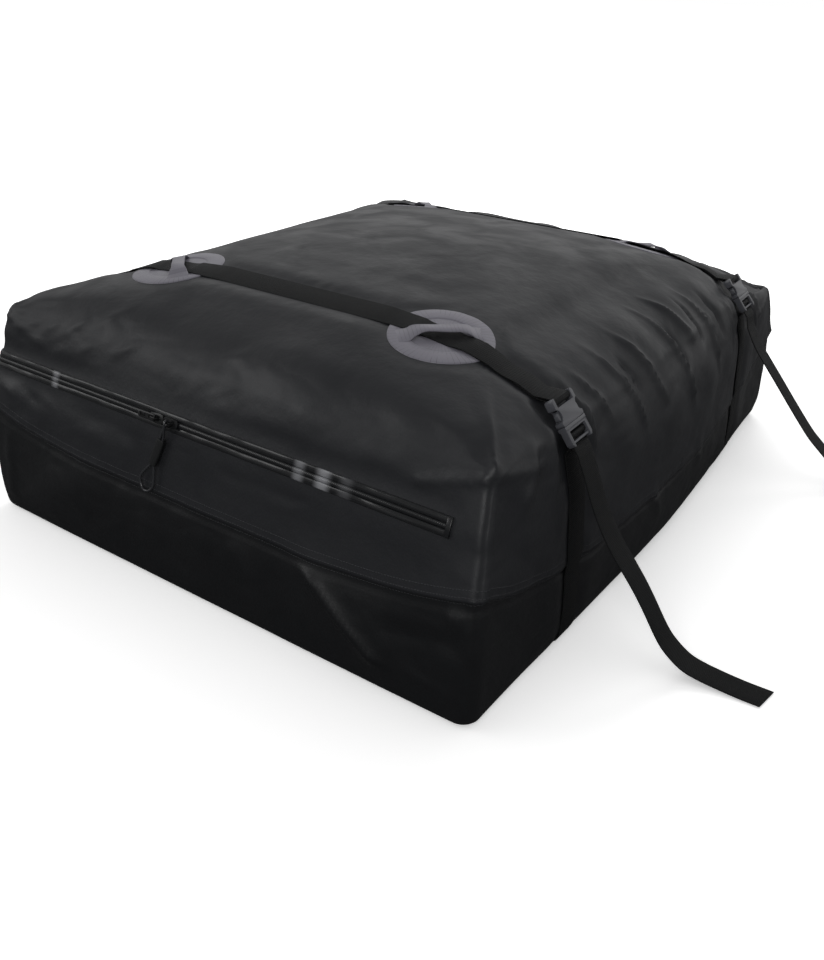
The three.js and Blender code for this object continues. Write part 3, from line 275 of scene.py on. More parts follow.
def smooth_route(points, spacing):
    """The same route with its corners rounded, as points at an even spacing."""
    knots = [Vector(p) for p in points]
    fine = []
    padded = [knots[0] * 2 - knots[1], *knots, knots[-1] * 2 - knots[-2]]
    for a, b, c, d in zip(padded, padded[1:], padded[2:], padded[3:]):
        for step in range(FINE_STEPS):
            t = step / FINE_STEPS
            fine.append(0.5 * ((2 * b) + (c - a) * t + (2 * a - 5 * b + 4 * c - d) * t * t
                               + (3 * b - a - 3 * c + d) * t ** 3))
    fine.append(knots[-1])
    lengths = np.concatenate([[0], np.cumsum([(q - p).length for p, q in zip(fine, fine[1:])])])
    count = max(2, round(lengths[-1] / spacing))
    wanted = np.linspace(0, lengths[-1], count + 1)
    even = [np.interp(wanted, lengths, [p[axis] for p in fine]) for axis in range(3)]
    return [Vector(p) for p in zip(*even)], float(lengths[-1])


def band_mesh(route, half_width, half_thick, end_slant=0.0):
    """Points, faces and map of a flat band with rounded edges. Its width lies nearest to Y."""
    points, uv, run = [], [], 0.0
    for i, middle in enumerate(route):
        ahead_point, behind = route[min(i + 1, len(route) - 1)], route[max(i - 1, 0)]
        way = (ahead_point - behind).normalized()
        run += (middle - behind).length if i else 0
        across = (Vector((0, 1, 0)) - way * way.y).normalized()
        out = across.cross(way)
        slant = end_slant * max(0.0, 1 - (len(route) - 1 - i) / 3)
        for side, face in BAND_EDGE:
            points.append(middle + across * side * half_width + out * face * half_thick
                          + way * side * slant)
            uv.append((run, side * half_width))
    return points, band_faces(len(route), len(BAND_EDGE), caps=("first", "last")), uv


for place, route in TAIL_ROUTES.items():
    start = TAIL_EXIT[place]
    knots = [start, start + PLUG_WAY[place] * 0.006, start + PLUG_WAY[place] * 0.013]
    knots += [Vector(p) / 1000 for p in route]
    line, length = smooth_route(knots, 0.006)
    points, faces, uv = band_mesh(line, WEB_WIDTH / 2, WEB_THICK / 2, end_slant=0.005)
    tail = new_mesh(f"tail_{place}", points, faces, tail_webbing, None, [f"strap_{place}_tail"],
                    uv)
    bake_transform(tail)
    print(tail.name, "length", round(length, 3), "m")

# %% [markdown]
# ## The bag's shape
# The bag is drawn as level loops, the way a potter's coils build a pot: a steep wall, a tip at
# each corner where three seams meet, then a shoulder that closes in to a low crown. Below the lap
# seam is the reinforced lower band. The same sizes drive the plain solid.

# %% Bag sizes, in millimetres
BASE_WIDTH, BASE_LENGTH = 872, 1132
TIP_HEIGHT, CROWN_HEIGHT = 300, 398
BASE_CORNER, TIP_CORNER = 22, 13
SIDE_BULGE, SHOULDER_BULGE = 24, 3
SEAM_HEIGHT, SEAM_DIP_END, SEAM_DIP_SIDE, SEAM_STEP = 178, 34, 66, 4
ZIP_HEIGHT, ZIP_BAND = 245, 24
TIP_REACH = 150
TIP_LIFT = [(-1, -1, 11), (1, -1, 6), (-1, 1, 9), (1, 1, -39)]
# share of the tip's height, inset of the sides and of the ends, swell
WALL = [
    (0, 12, 10, 0.5), (0.025, 3, 2, 0.6), (0.08, 0, 0, 0.75), (0.25, 0, 1, 0.9),
    (0.45, 3, 4, 1), (0.58, 6, 9, 1), (0.593, 6 - SEAM_STEP, 9 - SEAM_STEP, 1),
    (0.66, 6, 13, 0.95), (0.74, 10, 22, 0.85), (0.817, 14.5, 29, 0.65),
    (0.88, 18, 38, 0.45), (0.94, 22, 47, 0.3), (1, 26, 57, 0.2),
]
# share of the rise to the crown, inset of the sides, rear and front, corner radius
SHOULDER = [
    (0.10, 38, 63, 90, 22), (0.26, 58, 76, 144, 36), (0.40, 88, 93, 190, 66),
    (0.52, 122, 114, 236, 96), (0.64, 146, 150, 280, 122), (0.73, 166, 184, 320, 142),
    (0.82, 204, 232, 372, 150), (0.89, 246, 294, 440, 148),
]
CROWN_RINGS = (0.8, 0.6, 0.4, 0.2, 0.02)
SEAM_SHARE = 0.593
TIP_X, TIP_Y = BASE_WIDTH / 2 - WALL[-1][1], BASE_LENGTH / 2 - WALL[-1][2]
SIDE_COLUMNS, END_COLUMNS, CORNER_COLUMNS = 176, 134, 10


# %% Level loops
def mix(a, b, t):
    return a + (b - a) * t


def ease(t):
    t = np.clip(t, 0, 1)
    return t * t * (3 - 2 * t)


def tip_lift(x, y, z):
    """How far the corner of the bag is lifted or sags, near each tip."""
    share = np.clip((z - ZIP_HEIGHT - ZIP_BAND) / (TIP_HEIGHT - ZIP_HEIGHT - ZIP_BAND), 0, 1)
    lift = 0
    for sx, sy, amount in TIP_LIFT:
        off = ((x - sx * TIP_X) / TIP_REACH) ** 2 + ((y - sy * TIP_Y) / TIP_REACH) ** 2
        lift = lift + amount * np.exp(-off)
    return lift * share


def seam_height(height, dip):
    seam, foot = SEAM_HEIGHT - dip, ZIP_HEIGHT - ZIP_BAND
    if height <= SEAM_HEIGHT:
        return height * seam / SEAM_HEIGHT
    if height >= foot:
        return height + 0 * dip
    return seam + (height - SEAM_HEIGHT) * (foot - seam) / (foot - SEAM_HEIGHT)


def level_loop(height, side, rear, front, corner, bulge, dips):
    """One level of the bag: a rounded rectangle with swelling sides."""
    half_width, half_length = BASE_WIDTH / 2 - side, (BASE_LENGTH - rear - front) / 2
    middle = (rear - front) / 2
    loop = []
    for quarter in range(4):
        is_side = quarter % 2 == 0
        half, off = (half_length, half_width) if is_side else (half_width, half_length)
        columns = SIDE_COLUMNS if is_side else END_COLUMNS
        dip = (SEAM_DIP_SIDE if is_side else SEAM_DIP_END) if dips else 0
        t = 2 * np.arange(columns) / columns - 1
        turn = np.arange(CORNER_COLUMNS) / CORNER_COLUMNS * math.pi / 2
        along = np.concatenate([t * (half - corner), half - corner + corner * np.sin(turn)])
        swell = (bulge if is_side else 0) * (1 - t * t) ** 2
        out = np.concatenate([off + swell, off - corner + corner * np.cos(turn)])
        z = np.concatenate([seam_height(height, dip * (1 - t ** 4)) + 0 * t,
                            np.full(CORNER_COLUMNS, height)])
        x, y = [(out, along), (-along, out), (-out, -along), (along, -out)][quarter]
        y = y + middle
        loop.append(np.column_stack([x, y, z + tip_lift(x, y, z)]))
    return np.concatenate(loop)


def control_loops():
    lower, upper = [], []
    for share, side, end, bulge in WALL:
        above = share > SEAM_SHARE
        height = (mix(SEAM_HEIGHT, TIP_HEIGHT, (share - SEAM_SHARE) / (1 - SEAM_SHARE)) if above
                  else SEAM_HEIGHT * share / SEAM_SHARE)
        corner = mix(BASE_CORNER, TIP_CORNER, share)
        loop = level_loop(height, side, end, end, corner, SIDE_BULGE * bulge, True)
        (upper if share >= SEAM_SHARE else lower).append(loop)
    for share, side, rear, front, corner in SHOULDER:
        height = mix(TIP_HEIGHT, CROWN_HEIGHT, share)
        bulge = SHOULDER_BULGE * (1 - share)
        upper.append(level_loop(height, side, rear, front, corner, bulge, False))
    last = upper[-1]
    middle = last.mean(0)
    for share in CROWN_RINGS:
        loop = middle + (last - middle) * share
        loop[:, 2] += (CROWN_HEIGHT - middle[2]) * (1 - share * share)
        upper.append(loop)
    return np.array(lower), np.array(upper)


lower_loops, upper_loops = control_loops()
print("loops", lower_loops.shape, upper_loops.shape)

# %% [markdown]
# ## Smooth cloth between the loops
# A curve through every loop gives rows a few millimetres apart, fine enough for the folds that
# come next. The cloth is two pieces, as it is sewn: a lower band, and an upper panel whose hem
# laps over the band's top edge.


# %% Even rows through the loops
def rows_between(loops, count):
    """Loops at an even spacing on a smooth curve through the given ones."""
    steps = norm(np.diff(loops, axis=0), axis=2).mean(1)
    at = np.concatenate([[0], np.cumsum(steps)])
    slope = np.zeros_like(loops)
    gaps = np.diff(at)[:, None, None]
    secant = np.diff(loops, axis=0) / gaps
    slope[1:-1] = (secant[:-1] * gaps[1:] + secant[1:] * gaps[:-1]) / (gaps[:-1] + gaps[1:])
    slope[0], slope[-1] = secant[0], secant[-1]
    wanted = np.linspace(0, at[-1], count)
    index = np.clip(np.searchsorted(at, wanted, side="right") - 1, 0, len(loops) - 2)
    span = (at[index + 1] - at[index])[:, None, None]
    t = ((wanted - at[index]) / span[:, 0, 0])[:, None, None]
    p, q, m, n = loops[index], loops[index + 1], slope[index] * span, slope[index + 1] * span
    return ((2 * t ** 3 - 3 * t ** 2 + 1) * p + (t ** 3 - 2 * t ** 2 + t) * m
            + (3 * t ** 2 - 2 * t ** 3) * q + (t ** 3 - t ** 2) * n)


UPPER_ROWS, LOWER_ROWS = 150, 48
UNDER_HEM = 9 / 40
upper = rows_between(upper_loops, UPPER_ROWS)
under_hem = lower_loops[-1] + (lower_loops[-1] - lower_loops[-2]) * UNDER_HEM
lower_rows = rows_between(np.concatenate([lower_loops, under_hem[None]]), LOWER_ROWS)
print("cloth rows", upper.shape, lower_rows.shape)


# %% [markdown]
# ## Folds
# Coated cloth is stiff for its weight, so it doesn't ripple like cotton: it bulges over what is
# inside and breaks into a few sharp creases in between. Each kind of fold is a height above the
# smooth cloth, drawn where the photograph shows it, and all are added up.


# %% Noise and fold helpers
def noise_at(points, scale, seed):
    """Smooth noise from -1 to 1. scale is one swell's size along each axis, in millimetres."""
    shifted = points / np.asarray(scale, float) + seed * 17.3
    return np.array([noise.noise(p) for p in shifted])


def swells(points, scale, seed):
    """Round swells with sharp valleys between them, from 0 to about 1."""
    warp = np.stack([noise_at(points, (140, 140, 140), seed + k) for k in (3, 4, 5)], 1)
    return np.abs(noise_at(points + warp * 26, scale, seed)) * 1.6


def line_fold(points, a, b, width, rise, sharp, fade):
    """A ridge from a to b. width is from its middle to its foot, and it fades at both ends."""
    a, b = np.asarray(a, float), np.asarray(b, float)
    way = b - a
    share = (points - a) @ way / (way @ way)
    nearest = a + np.clip(share, 0, 1)[:, None] * way
    off = norm(points - nearest, axis=1) / width
    ends = ease(share / fade) * ease((1 - share) / fade)
    return rise * ends * np.exp(-off ** (1.0 + sharp) * 1.6)


STRAP_AT = {"rear": -338, "front": 330}
GUIDE_X, STRAP_EDGE = 231, 20
HUB_HEIGHT, HUB_REACH = 150, 380
SIDE_FROM, END_FROM = 250, 380


def strap_pull(points):
    """The cloth is pulled in under a strap and puffs up beside it, with short puckers."""
    x, y, z = points.T
    height = np.zeros(len(points))
    for at in STRAP_AT.values():
        off = np.abs(y - at)
        beside = ease((off - 17) / 30) * ease((110 - off) / 70)
        around = np.arctan2(z - HUB_HEIGHT, x) * HUB_REACH
        pucker = np.sin(around / 9 + 2.2 * np.sin(around / 31 + at))
        pucker *= ease((off - STRAP_EDGE) / 8) * ease((46 - off) / 26)
        height += 3.2 * beside + 0.55 * pucker
    return height


# %% [markdown]
# The main folds are those of the solid: slanting pleats between the straps on both long sides,
# and a few long folds across each end. Between them run finer, sharper creases. On the zipped
# end the slack hangs in soft dents below the zip.

# %% Fold map
# place along the wall and height at the top, then at the foot, half width, rise
MAIN_RIGHT = [
    (-225, 342, -188, 206, 42, 7), (-78, 350, -36, 196, 44, 7.5), (76, 348, 120, 198, 44, 7.5),
    (212, 335, 240, 206, 40, 6), (-462, 312, -448, 206, 34, 4), (452, 288, 462, 206, 34, 4),
]
MAIN_LEFT = [
    (-205, 342, -232, 206, 42, 6), (-50, 350, -86, 196, 44, 7), (98, 348, 64, 198, 44, 6.5),
    (226, 335, 204, 206, 40, 5), (450, 322, 462, 206, 34, 4),
]
MAIN_REAR = [
    (178, 146, 318, 44, 32, 6), (-196, 128, -330, 40, 40, 5), (-20, 122, 70, 40, 44, 3.5),
    (-150, 346, -330, 296, 36, 4.5), (40, 350, 190, 298, 38, 4),
]
MAIN_FRONT = [
    (-178, 150, -310, 50, 36, 5), (190, 128, 320, 40, 40, 5), (30, 340, -150, 250, 44, 5),
    (150, 336, 330, 262, 40, 5),
]
# how far from a strap the main folds are held down, and how calm they are at the left shoulder
HOLD_REACH, CALM_SHARE = 70, 0.85


def main_fold(folds, along, z):
    height = np.zeros(len(z))
    for along0, z0, along1, z1, half, rise in folds:
        run, drop = along1 - along0, z1 - z0
        share = ((along - along0) * run + (z - z0) * drop) / (run ** 2 + drop ** 2)
        near = np.clip(share, 0, 1)
        off = np.hypot(along - mix(along0, along1, near), z - mix(z0, z1, near))
        ends = ease((share + 0.3) / 0.6) * ease((1.3 - share) / 0.6)
        height += rise * ends * np.exp(-(off / half) ** 2)
    return height


def main_folds(points):
    x, y, z = points.T
    hold = np.prod([1 - np.exp(-((y - at) / HOLD_REACH) ** 2) for at in STRAP_AT.values()], 0)
    side = ease((np.abs(x) - 300) / 60) * ease((534 - np.abs(y)) / 30)
    end = ease((np.abs(y) - 400) / 60) * ease((404 - np.abs(x)) / 40)
    sides = np.where(x > 0, main_fold(MAIN_RIGHT, y, z), main_fold(MAIN_LEFT, y, z))
    ends = np.where(y < 0, main_fold(MAIN_REAR, x, z), main_fold(MAIN_FRONT, x, z))
    calm_shoulder = 1 - CALM_SHARE * (x < 0) * ease((z - 280) / 40)
    return hold * side * sides * calm_shoulder + end * ends


# along the right wall and height at the top, then at the foot, half width, rise
CREASES = [
    (-262, 338, -236, 262, 8, 2.6), (-196, 350, -132, 214, 9, 3.4), (-150, 330, -128, 268, 7, -2.4),
    (-118, 352, -64, 232, 8, 2.6), (-20, 358, 48, 188, 9, 3.6), (10, 330, 34, 250, 7, -3),
    (36, 352, 74, 282, 8, 2.8), (92, 340, 108, 268, 6, -2.6), (128, 350, 176, 206, 9, 3.4),
    (150, 322, 176, 262, 6, 2.2), (186, 336, 214, 248, 8, -2.8), (248, 320, 262, 218, 8, 2.8),
    (276, 310, 286, 240, 7, 2.4), (384, 306, 412, 190, 9, 3.4), (420, 296, 436, 220, 7, 2.2),
    (-296, 326, -286, 244, 8, 2.2), (-384, 330, -400, 214, 12, 2.4),
    (-420, 318, -470, 236, 14, 2.4), (-352, 176, -300, 120, 16, 2), (60, 150, 130, 70, 18, 2),
    (-120, 140, -60, 60, 18, 2),
]
# x and height at one end, then at the other, half width, rise
REAR_FOLDS = [
    (-390, 286, -318, 318, 8, 2.4), (-352, 282, -286, 322, 7, 2.2), (-318, 276, -262, 302, 7, -1.8),
    (-292, 296, -232, 336, 8, 2.4), (-250, 284, -214, 306, 6, 1.8), (-236, 316, -180, 352, 9, 2),
    (-196, 290, -130, 324, 8, 2.2), (-120, 304, -60, 334, 9, 1.8), (-20, 322, 46, 340, 10, 1.6),
    (60, 362, 200, 332, 17, 2.2), (160, 300, 330, 285, 15, 1.8), (230, 345, 350, 300, 18, 2),
    (-404, 222, -360, 196, 9, 2.2), (-372, 228, -300, 196, 9, -2), (-330, 222, -270, 206, 8, 1.8),
]
LOW_FOLDS = [
    (172, 150, 316, 40, 13, 8), (286, 150, 420, 150, 17, 5), (300, 92, 424, 118, 26, -5),
    (330, 60, 426, 40, 18, 2.4),
    (-382, 150, -404, 20, 15, 3), (60, 120, 150, 40, 26, 2), (-150, 130, -60, 60, 26, 1.8),
    (-300, 120, -210, 50, 24, 2),
]
# x, height, half width, half height, depth
SLACK_DENTS = [
    (-95, 206, 42, 20, -3.4), (-20, 212, 38, 16, -3), (70, 205, 48, 16, -3.2),
    (160, 208, 40, 14, -2.4), (-190, 212, 46, 15, -2.6), (-290, 216, 40, 14, -2),
    (250, 214, 40, 13, -2.2),
]
# a corner that is filled out beside its tip: its place and how far
FULL_CORNERS = [(-408, -500, 290, 5)]
FULL_REACH = 75
CREASE_GAIN = 2.3


def free_cloth(points):
    """1 where the cloth is free, 0 where a strap, a guide or a buckle holds it down."""
    x, y, z = points.T
    free = np.ones(len(points))
    for at in STRAP_AT.values():
        off = np.abs(y - at)
        free *= ease((off - STRAP_EDGE) / 13)
        free *= 1 - ease((x - 366) / 14) * (z > 240) * (1 - ease((off - 30) / 14))
        from_guide = np.hypot(np.abs(x) - GUIDE_X, off)
        free *= 1 - (z > 250) * (1 - ease((from_guide - 69) / 22))
    return free


def fold_height(points):
    """All the drawn folds of the walls and the top."""
    x, y, z = points.T
    by_zip = ease((40 - np.abs(z - ZIP_HEIGHT)) / 26)
    clear_of_zip = 1 - by_zip * ease((-y - 360) / 12) * ease((392 - x) / 10)
    on_top = ease((z - 330) / 30)
    on_side = ease((np.abs(x) - 330) / 60) * (1 - ease((np.abs(y) - 500) / 40))
    on_end = ease((np.abs(y) - 420) / 70)
    on_wall = np.maximum(on_side, on_end)
    height = 3.0 * noise_at(points, (260, 260, 170), 1) * (1 - 0.6 * on_top)
    height += 1.7 * swells(points, (120, 95, 64), 2) * (0.16 + 0.84 * on_wall)
    height += 1.0 * swells(points, (46, 40, 30), 7) * on_wall * (1 - on_top)
    height += strap_pull(points)
    flat_end = points[:, [0, 2]]
    right_side, rear_end, front_end = x > SIDE_FROM, y < -END_FROM, y > END_FROM
    left_wall = (x < -SIDE_FROM) * (1 - ease((z - 285) / 30))
    bent = np.column_stack([y + 7 * noise_at(points, (90, 90, 60), 11), z])
    for a, b, c, d, width, rise in CREASES:
        gained = rise * CREASE_GAIN
        height += right_side * line_fold(bent, (a, b), (c, d), width, gained, 0.2, 0.35)
        mirrored = (-a - 20, b - 6), (-c - 20, d)
        height += left_wall * line_fold(bent, *mirrored, width * 1.4, rise, 0.5, 0.4)
    for a, b, c, d, *size in REAR_FOLDS:
        height += rear_end * line_fold(flat_end, (a, b), (c, d), *size, 0.8, 0.4)
        height += front_end * line_fold(flat_end, (-a, b - 8), (-c, d - 8), *size, 0.8, 0.4)
    below_seam = rear_end * (z < SEAM_HEIGHT)
    for a, b, c, d, *size in LOW_FOLDS:
        height += below_seam * line_fold(flat_end, (a, b), (c, d), *size, 0.6, 0.14)
    for x0, z0, wide, tall, depth in SLACK_DENTS:
        height += rear_end * depth * np.exp(-((x - x0) / wide) ** 2 - ((z - z0) / tall) ** 2)
    height += main_folds(points)
    for at_x, at_y, at_z, rise in FULL_CORNERS:
        off = (x - at_x) ** 2 + (y - at_y) ** 2 + (z - at_z) ** 2
        height += rise * np.exp(-off / FULL_REACH ** 2)
    return height * clear_of_zip * (0.06 + 0.94 * ease(z / 46))


def held_down(points):
    """The cloth gives way a little under each strap."""
    off = np.min([np.abs(points[:, 1] - at) for at in STRAP_AT.values()], axis=0)
    return 0.5 * (1 - ease((off - 19) / 8))


# %% [markdown]
# The three seams that meet at a tip pull the cloth into creases: a crisp ridge climbs from the
# tip to the shoulder, one runs out along each wall, and a shallow hollow lies behind. Small
# puckers follow the lap seam, where the needle drew the cloth together.

# %% Corner creases and seam puckers
TIPS = {(sx, sy): (sx * TIP_X, sy * TIP_Y, TIP_HEIGHT + lift) for sx, sy, lift in TIP_LIFT}
RIGHT_CREST, LEFT_CREST, TIP_FADE = 6.5, 3.0, 0.07


def corner_height(points):
    """A crest over each tip, a crease on both walls beside it, and a hollow behind it."""
    x, y, z = points.T
    height = np.zeros(len(points))
    plan, end_wall, side_wall = points[:, :2], points[:, [0, 2]], points[:, 1:]
    for (sx, sy), tip in TIPS.items():
        near = np.exp(-((points - np.array(tip)) ** 2).sum(1) / 170 ** 2)
        above = ease((z - tip[2] + 12) / 16)
        crest_end = (tip[0] - sx * 96, tip[1] - sy * 122)
        crest = RIGHT_CREST if sx > 0 else LEFT_CREST
        height += above * near * line_fold(plan, tip[:2], crest_end, 6, crest, 0.1, TIP_FADE)
        on_end = ease((sy * y - 430) / 20) * (sx * x < abs(tip[0]) + 4)
        on_side = ease((sx * x - 380) / 15) * (sy * y < abs(tip[1]) + 4)
        for on_wall, flat, at, run, drop, half, rise, sharp in (
                (on_end, end_wall, tip[0], sx * 92, 30, 5, 5.0, 0.1),
                (on_side, side_wall, tip[1], sy * 100, 26, 6, 3.5, 0.2)):
            a, b = (at, tip[2] - 3), (at - run, tip[2] - drop)
            height += on_wall * near * line_fold(flat, a, b, half, rise, sharp, TIP_FADE)
        hollow = np.array(tip) + np.array([-sx * 70, -sy * 20, -2])
        height -= 2.0 * np.exp(-((points - hollow) ** 2).sum(1) / 46 ** 2)
    return height


def pucker_height(around, from_seam):
    """Puckers along the lap seam. around is the way round the bag, from_seam the height off it."""
    ripple = np.sin(around / 4.6 + 3 * np.sin(around / 37)) * np.sin(around / 51 + 1.3)
    return 0.7 * ripple * np.exp(-np.abs(from_seam) / 16) * (np.abs(from_seam) > 3)


# %% [markdown]
# ## Settled cloth
# Drawn folds alone look drawn. So a coarser copy, cut a little larger than the load, is blown up
# from inside while the straps, the guides, the zip and the seams hold it. It breaks into folds of
# its own, and those are added to the drawn ones.

# %% Let the cloth settle
COARSE = 3
SLACK_ALONG, SLACK_ACROSS = 1.035, 1.03
MOST_MOVE = 9
SETTLING_FRAMES = 20
CORNER_AT = (424, 545)


def held_weight(points):
    """1 where the cloth can't move, 0 where it is free."""
    x, y, z = points.T
    held = 1 - free_cloth(points)
    at_zip = (y < -500) | ((x < -380) & (y < -350))
    held = np.maximum(held, ease((30 - np.abs(z - ZIP_HEIGHT)) / 16) * at_zip)
    at_corner = np.hypot(np.abs(x) - CORNER_AT[0], np.abs(y) - CORNER_AT[1])
    held = np.maximum(held, 0.8 * ease((46 - at_corner) / 30))
    return np.maximum(held, ease((z - 350) / 26))


def spread_rows(values, count, step):
    """Values on coarse rows, smoothly spread to the fine ones."""
    at = np.minimum(np.arange(count) / step, len(values) - 1.0001)
    index = at.astype(int)
    t = (at - index)[:, None, None]
    pick = lambda k: values[np.clip(index + k, 0, len(values) - 1)]
    a, b, c, d = pick(-1), pick(0), pick(1), pick(2)
    return b + 0.5 * t * (c - a + t * (2 * a - 5 * b + 4 * c - d + t * (3 * (b - c) + d - a)))


def settled(rows):
    """How far each point of the rows moves when the cloth is let go, in millimetres."""
    coarse = rows[::COARSE, ::COARSE]
    count, columns = coarse.shape[:2]
    points = coarse.reshape(-1, 3)
    mesh = bpy.data.meshes.new("settling")
    mesh.from_pydata((points / 1000).tolist(), [], band_faces(count, columns))
    sheet = bpy.data.objects.new("settling", mesh)
    scene.collection.objects.link(sheet)
    sheet.shape_key_add(name="packed")
    as_cut = sheet.shape_key_add(name="as_cut")
    share = 1 - ease((points[:, 2] - 310) / 60)
    slack = np.column_stack([mix(1, SLACK_ACROSS, share), mix(1, SLACK_ALONG, share),
                             np.ones(len(points))])
    as_cut.data.foreach_set("co", (points / 1000 * slack).ravel())
    group = sheet.vertex_groups.new(name="held")
    weights = held_weight(points)
    weights[:columns] = 1
    for i, weight in enumerate(weights):
        group.add([i], float(weight), "REPLACE")
    cloth = sheet.modifiers.new("cloth", "CLOTH")
    settings = cloth.settings
    settings.quality, settings.mass, settings.air_damping = 5, 0.3, 2.0
    settings.tension_stiffness = settings.compression_stiffness = 25
    settings.shear_stiffness, settings.bending_stiffness = 8, 3
    settings.vertex_group_mass = "held"
    settings.use_pressure, settings.uniform_pressure_force = True, 3.0
    settings.rest_shape_key = as_cut
    settings.effector_weights.gravity = 0
    cloth.collision_settings.use_collision = False
    for number in range(1, SETTLING_FRAMES + 1):
        scene.frame_set(number)
    result = sheet.evaluated_get(bpy.context.evaluated_depsgraph_get()).to_mesh()
    moved = np.zeros(len(points) * 3)
    result.vertices.foreach_get("co", moved)
    scene.frame_set(1)
    move = (moved.reshape(-1, 3) * 1000 - points) * (1 - weights)[:, None]
    size = norm(move, axis=1, keepdims=True)
    move *= MOST_MOVE * np.tanh(size / MOST_MOVE) / np.maximum(size, 1e-6)
    print(f"settled cloth moved up to {size.max():.1f} mm, mean {size.mean():.2f}")
    bpy.data.objects.remove(sheet)
    move = move.reshape(count, columns, 3)
    along = np.fft.irfft(np.fft.rfft(move, axis=1), n=columns * COARSE, axis=1) * COARSE
    return spread_rows(along, len(rows), COARSE)


def grid_normals(rows):
    along = np.roll(rows, -1, 1) - np.roll(rows, 1, 1)
    upward = np.gradient(rows, axis=0)
    normal = np.cross(along, upward)
    return normal / np.maximum(norm(normal, axis=2, keepdims=True), 1e-9)


def fold_rows(rows, from_seam):
    """The rows moved out by every drawn fold, and the way round the bag."""
    around = np.concatenate([[0], np.cumsum(norm(np.diff(rows[0], axis=0), axis=1))])
    points = rows.reshape(-1, 3)
    height = fold_height(points) + corner_height(points)
    height += pucker_height(np.tile(around, len(rows)), from_seam.ravel())
    height = height * free_cloth(points) - held_down(points)
    return rows + grid_normals(rows) * height.reshape(rows.shape[:2])[:, :, None], around


# %% [markdown]
# A seam runs down each corner from the tip, in a narrow groove with a soft roll on each side.

# %% Corner seams
# the middle column of each corner
MIDDLES = (np.cumsum([SIDE_COLUMNS, END_COLUMNS] * 2)
           + CORNER_COLUMNS * np.arange(1, 9, 2) // 2).tolist()
SEAM_ROLL, SEAM_GROOVE = 0.3, 1.3


def corner_seams(rows):
    """The rows with a groove down the middle of each corner, up to the tip."""
    normals = grid_normals(rows)
    seamed = rows.copy()
    below_tip = (1 - ease((rows[:, :, 2] - 292) / 10)) * ease((rows[:, :, 2] - 14) / 30)
    for middle in MIDDLES:
        off = norm(rows - rows[:, middle:middle + 1], axis=2)
        shape = SEAM_ROLL * np.exp(-((off - 6) / 4) ** 2) - SEAM_GROOVE * np.exp(-(off / 1.8) ** 2)
        seamed += normals * (shape * below_tip)[:, :, None]
    return seamed


# %% [markdown]
# The cord pull travels along the rear wall with its slider, so that only the large folds are
# left on its path.

# %% Path of the pull
PATH_X, PATH_Z = (-130, 400), (120, 262)
TUCKED_ROWS, TUCK = 6, 1.2


def clear_of_pull(folded, plain):
    """The folded rows, with only the main folds left where the pull passes."""
    points = plain.reshape(-1, 3)
    x, y, z = points.T
    on_path = (y < -END_FROM) * ease((x - PATH_X[0]) / 30) * ease((PATH_X[1] - x) / 12)
    on_path *= ease((z - PATH_Z[0]) / 20) * ease((PATH_Z[1] - z) / 10)
    normals = grid_normals(plain)
    out = ((folded - plain) * normals).sum(2)
    allowed = main_folds(points).reshape(out.shape) + 0.2
    over = np.maximum(out - allowed, 0) * on_path.reshape(out.shape)
    print(f"drawn in on the pull's path by up to {over.max():.1f} mm")
    return folded - normals * over[:, :, None]


upper_settled = corner_seams(upper + settled(upper))
lower_rows = corner_seams(lower_rows)
upper_seam = upper[:, :, 2] - upper[0][:, 2]
lower_seam = lower_rows[:, :, 2] - upper[0][:, 2]
upper_folded, around = fold_rows(upper_settled, upper_seam)
lower_folded, _ = fold_rows(lower_rows, lower_seam)
upper_folded = clear_of_pull(upper_folded, upper)
lower_folded = clear_of_pull(lower_folded, lower_rows)
lower_folded[-TUCKED_ROWS:] -= grid_normals(lower_rows)[-TUCKED_ROWS:] * TUCK
moved = upper_folded - upper
print(f"folds from {moved.min():.1f} to {moved.max():.1f} mm")

# %% [markdown]
# ## Coated cloth
# The cloth is polyester with a PVC coating, calendered to a satin black. PVC has an index
# near 1.5. A very fine grain spreads each highlight into a soft sheen, and the gloss drifts a
# little from place to place. Two rows of stitches hold the hem.


# %% Coated cloth material
STITCH, STITCH_COLOUR = 0.0042, "#393a3d"
HEM_ROWS, BAND_ROWS = (0.0045, 0.0125), (-0.006,)
GRAIN_MM = 1.1


def coated_cloth(name, hex_colour, hems):
    """Coated cloth, with rows of stitches at some heights over the lap seam, in metres."""
    material, tree, surface = new_material(name, hex_colour, 0.44, IOR=1.5,
                                           Specular_IOR_Level=0.36)
    place, run = own_place(tree), axes(tree, own_map(tree))
    grain = clouds(tree, 500 / GRAIN_MM, 4.0, Vector=place, Roughness=0.62)
    cloth = clouds(tree, 38.0, 4.0, Vector=place, Roughness=0.55)
    waves = clouds(tree, 13.0, 3.0, Vector=place, Distortion=0.6)
    phase = calc(tree, "PINGPONG", run["X"], STITCH / 2)
    thread = ramp(tree, phase, STITCH * 0.12, STITCH * 0.2)
    rows = [ramp(tree, off_by(tree, run["Y"], hem), 0.0003, 0.0006, 1.0, 0.0) for hem in hems]
    drawn = calc(tree, "MULTIPLY", largest(tree, rows), thread)
    relief(tree, surface, [(0.35, 0.003, cloth), (0.16, 0.0002, grain), (0.7, 0.0005, drawn)])
    two_tone(tree, surface, drawn, hex_colour, STITCH_COLOUR)
    tree.links.new(ramp(tree, waves, 0.35, 0.65, 0.38, 0.52), surface.inputs["Roughness"])
    return material


panel_cloth = coated_cloth("pvc_coated_polyester", "#252629", HEM_ROWS)
# The lower band is the same cloth in a darker tone: painted shade for the band, which leans in
# below the lap seam, away from the light.
shaded_band_cloth = coated_cloth("pvc_coated_polyester_lower_painted_shade", "#161719", BAND_ROWS)


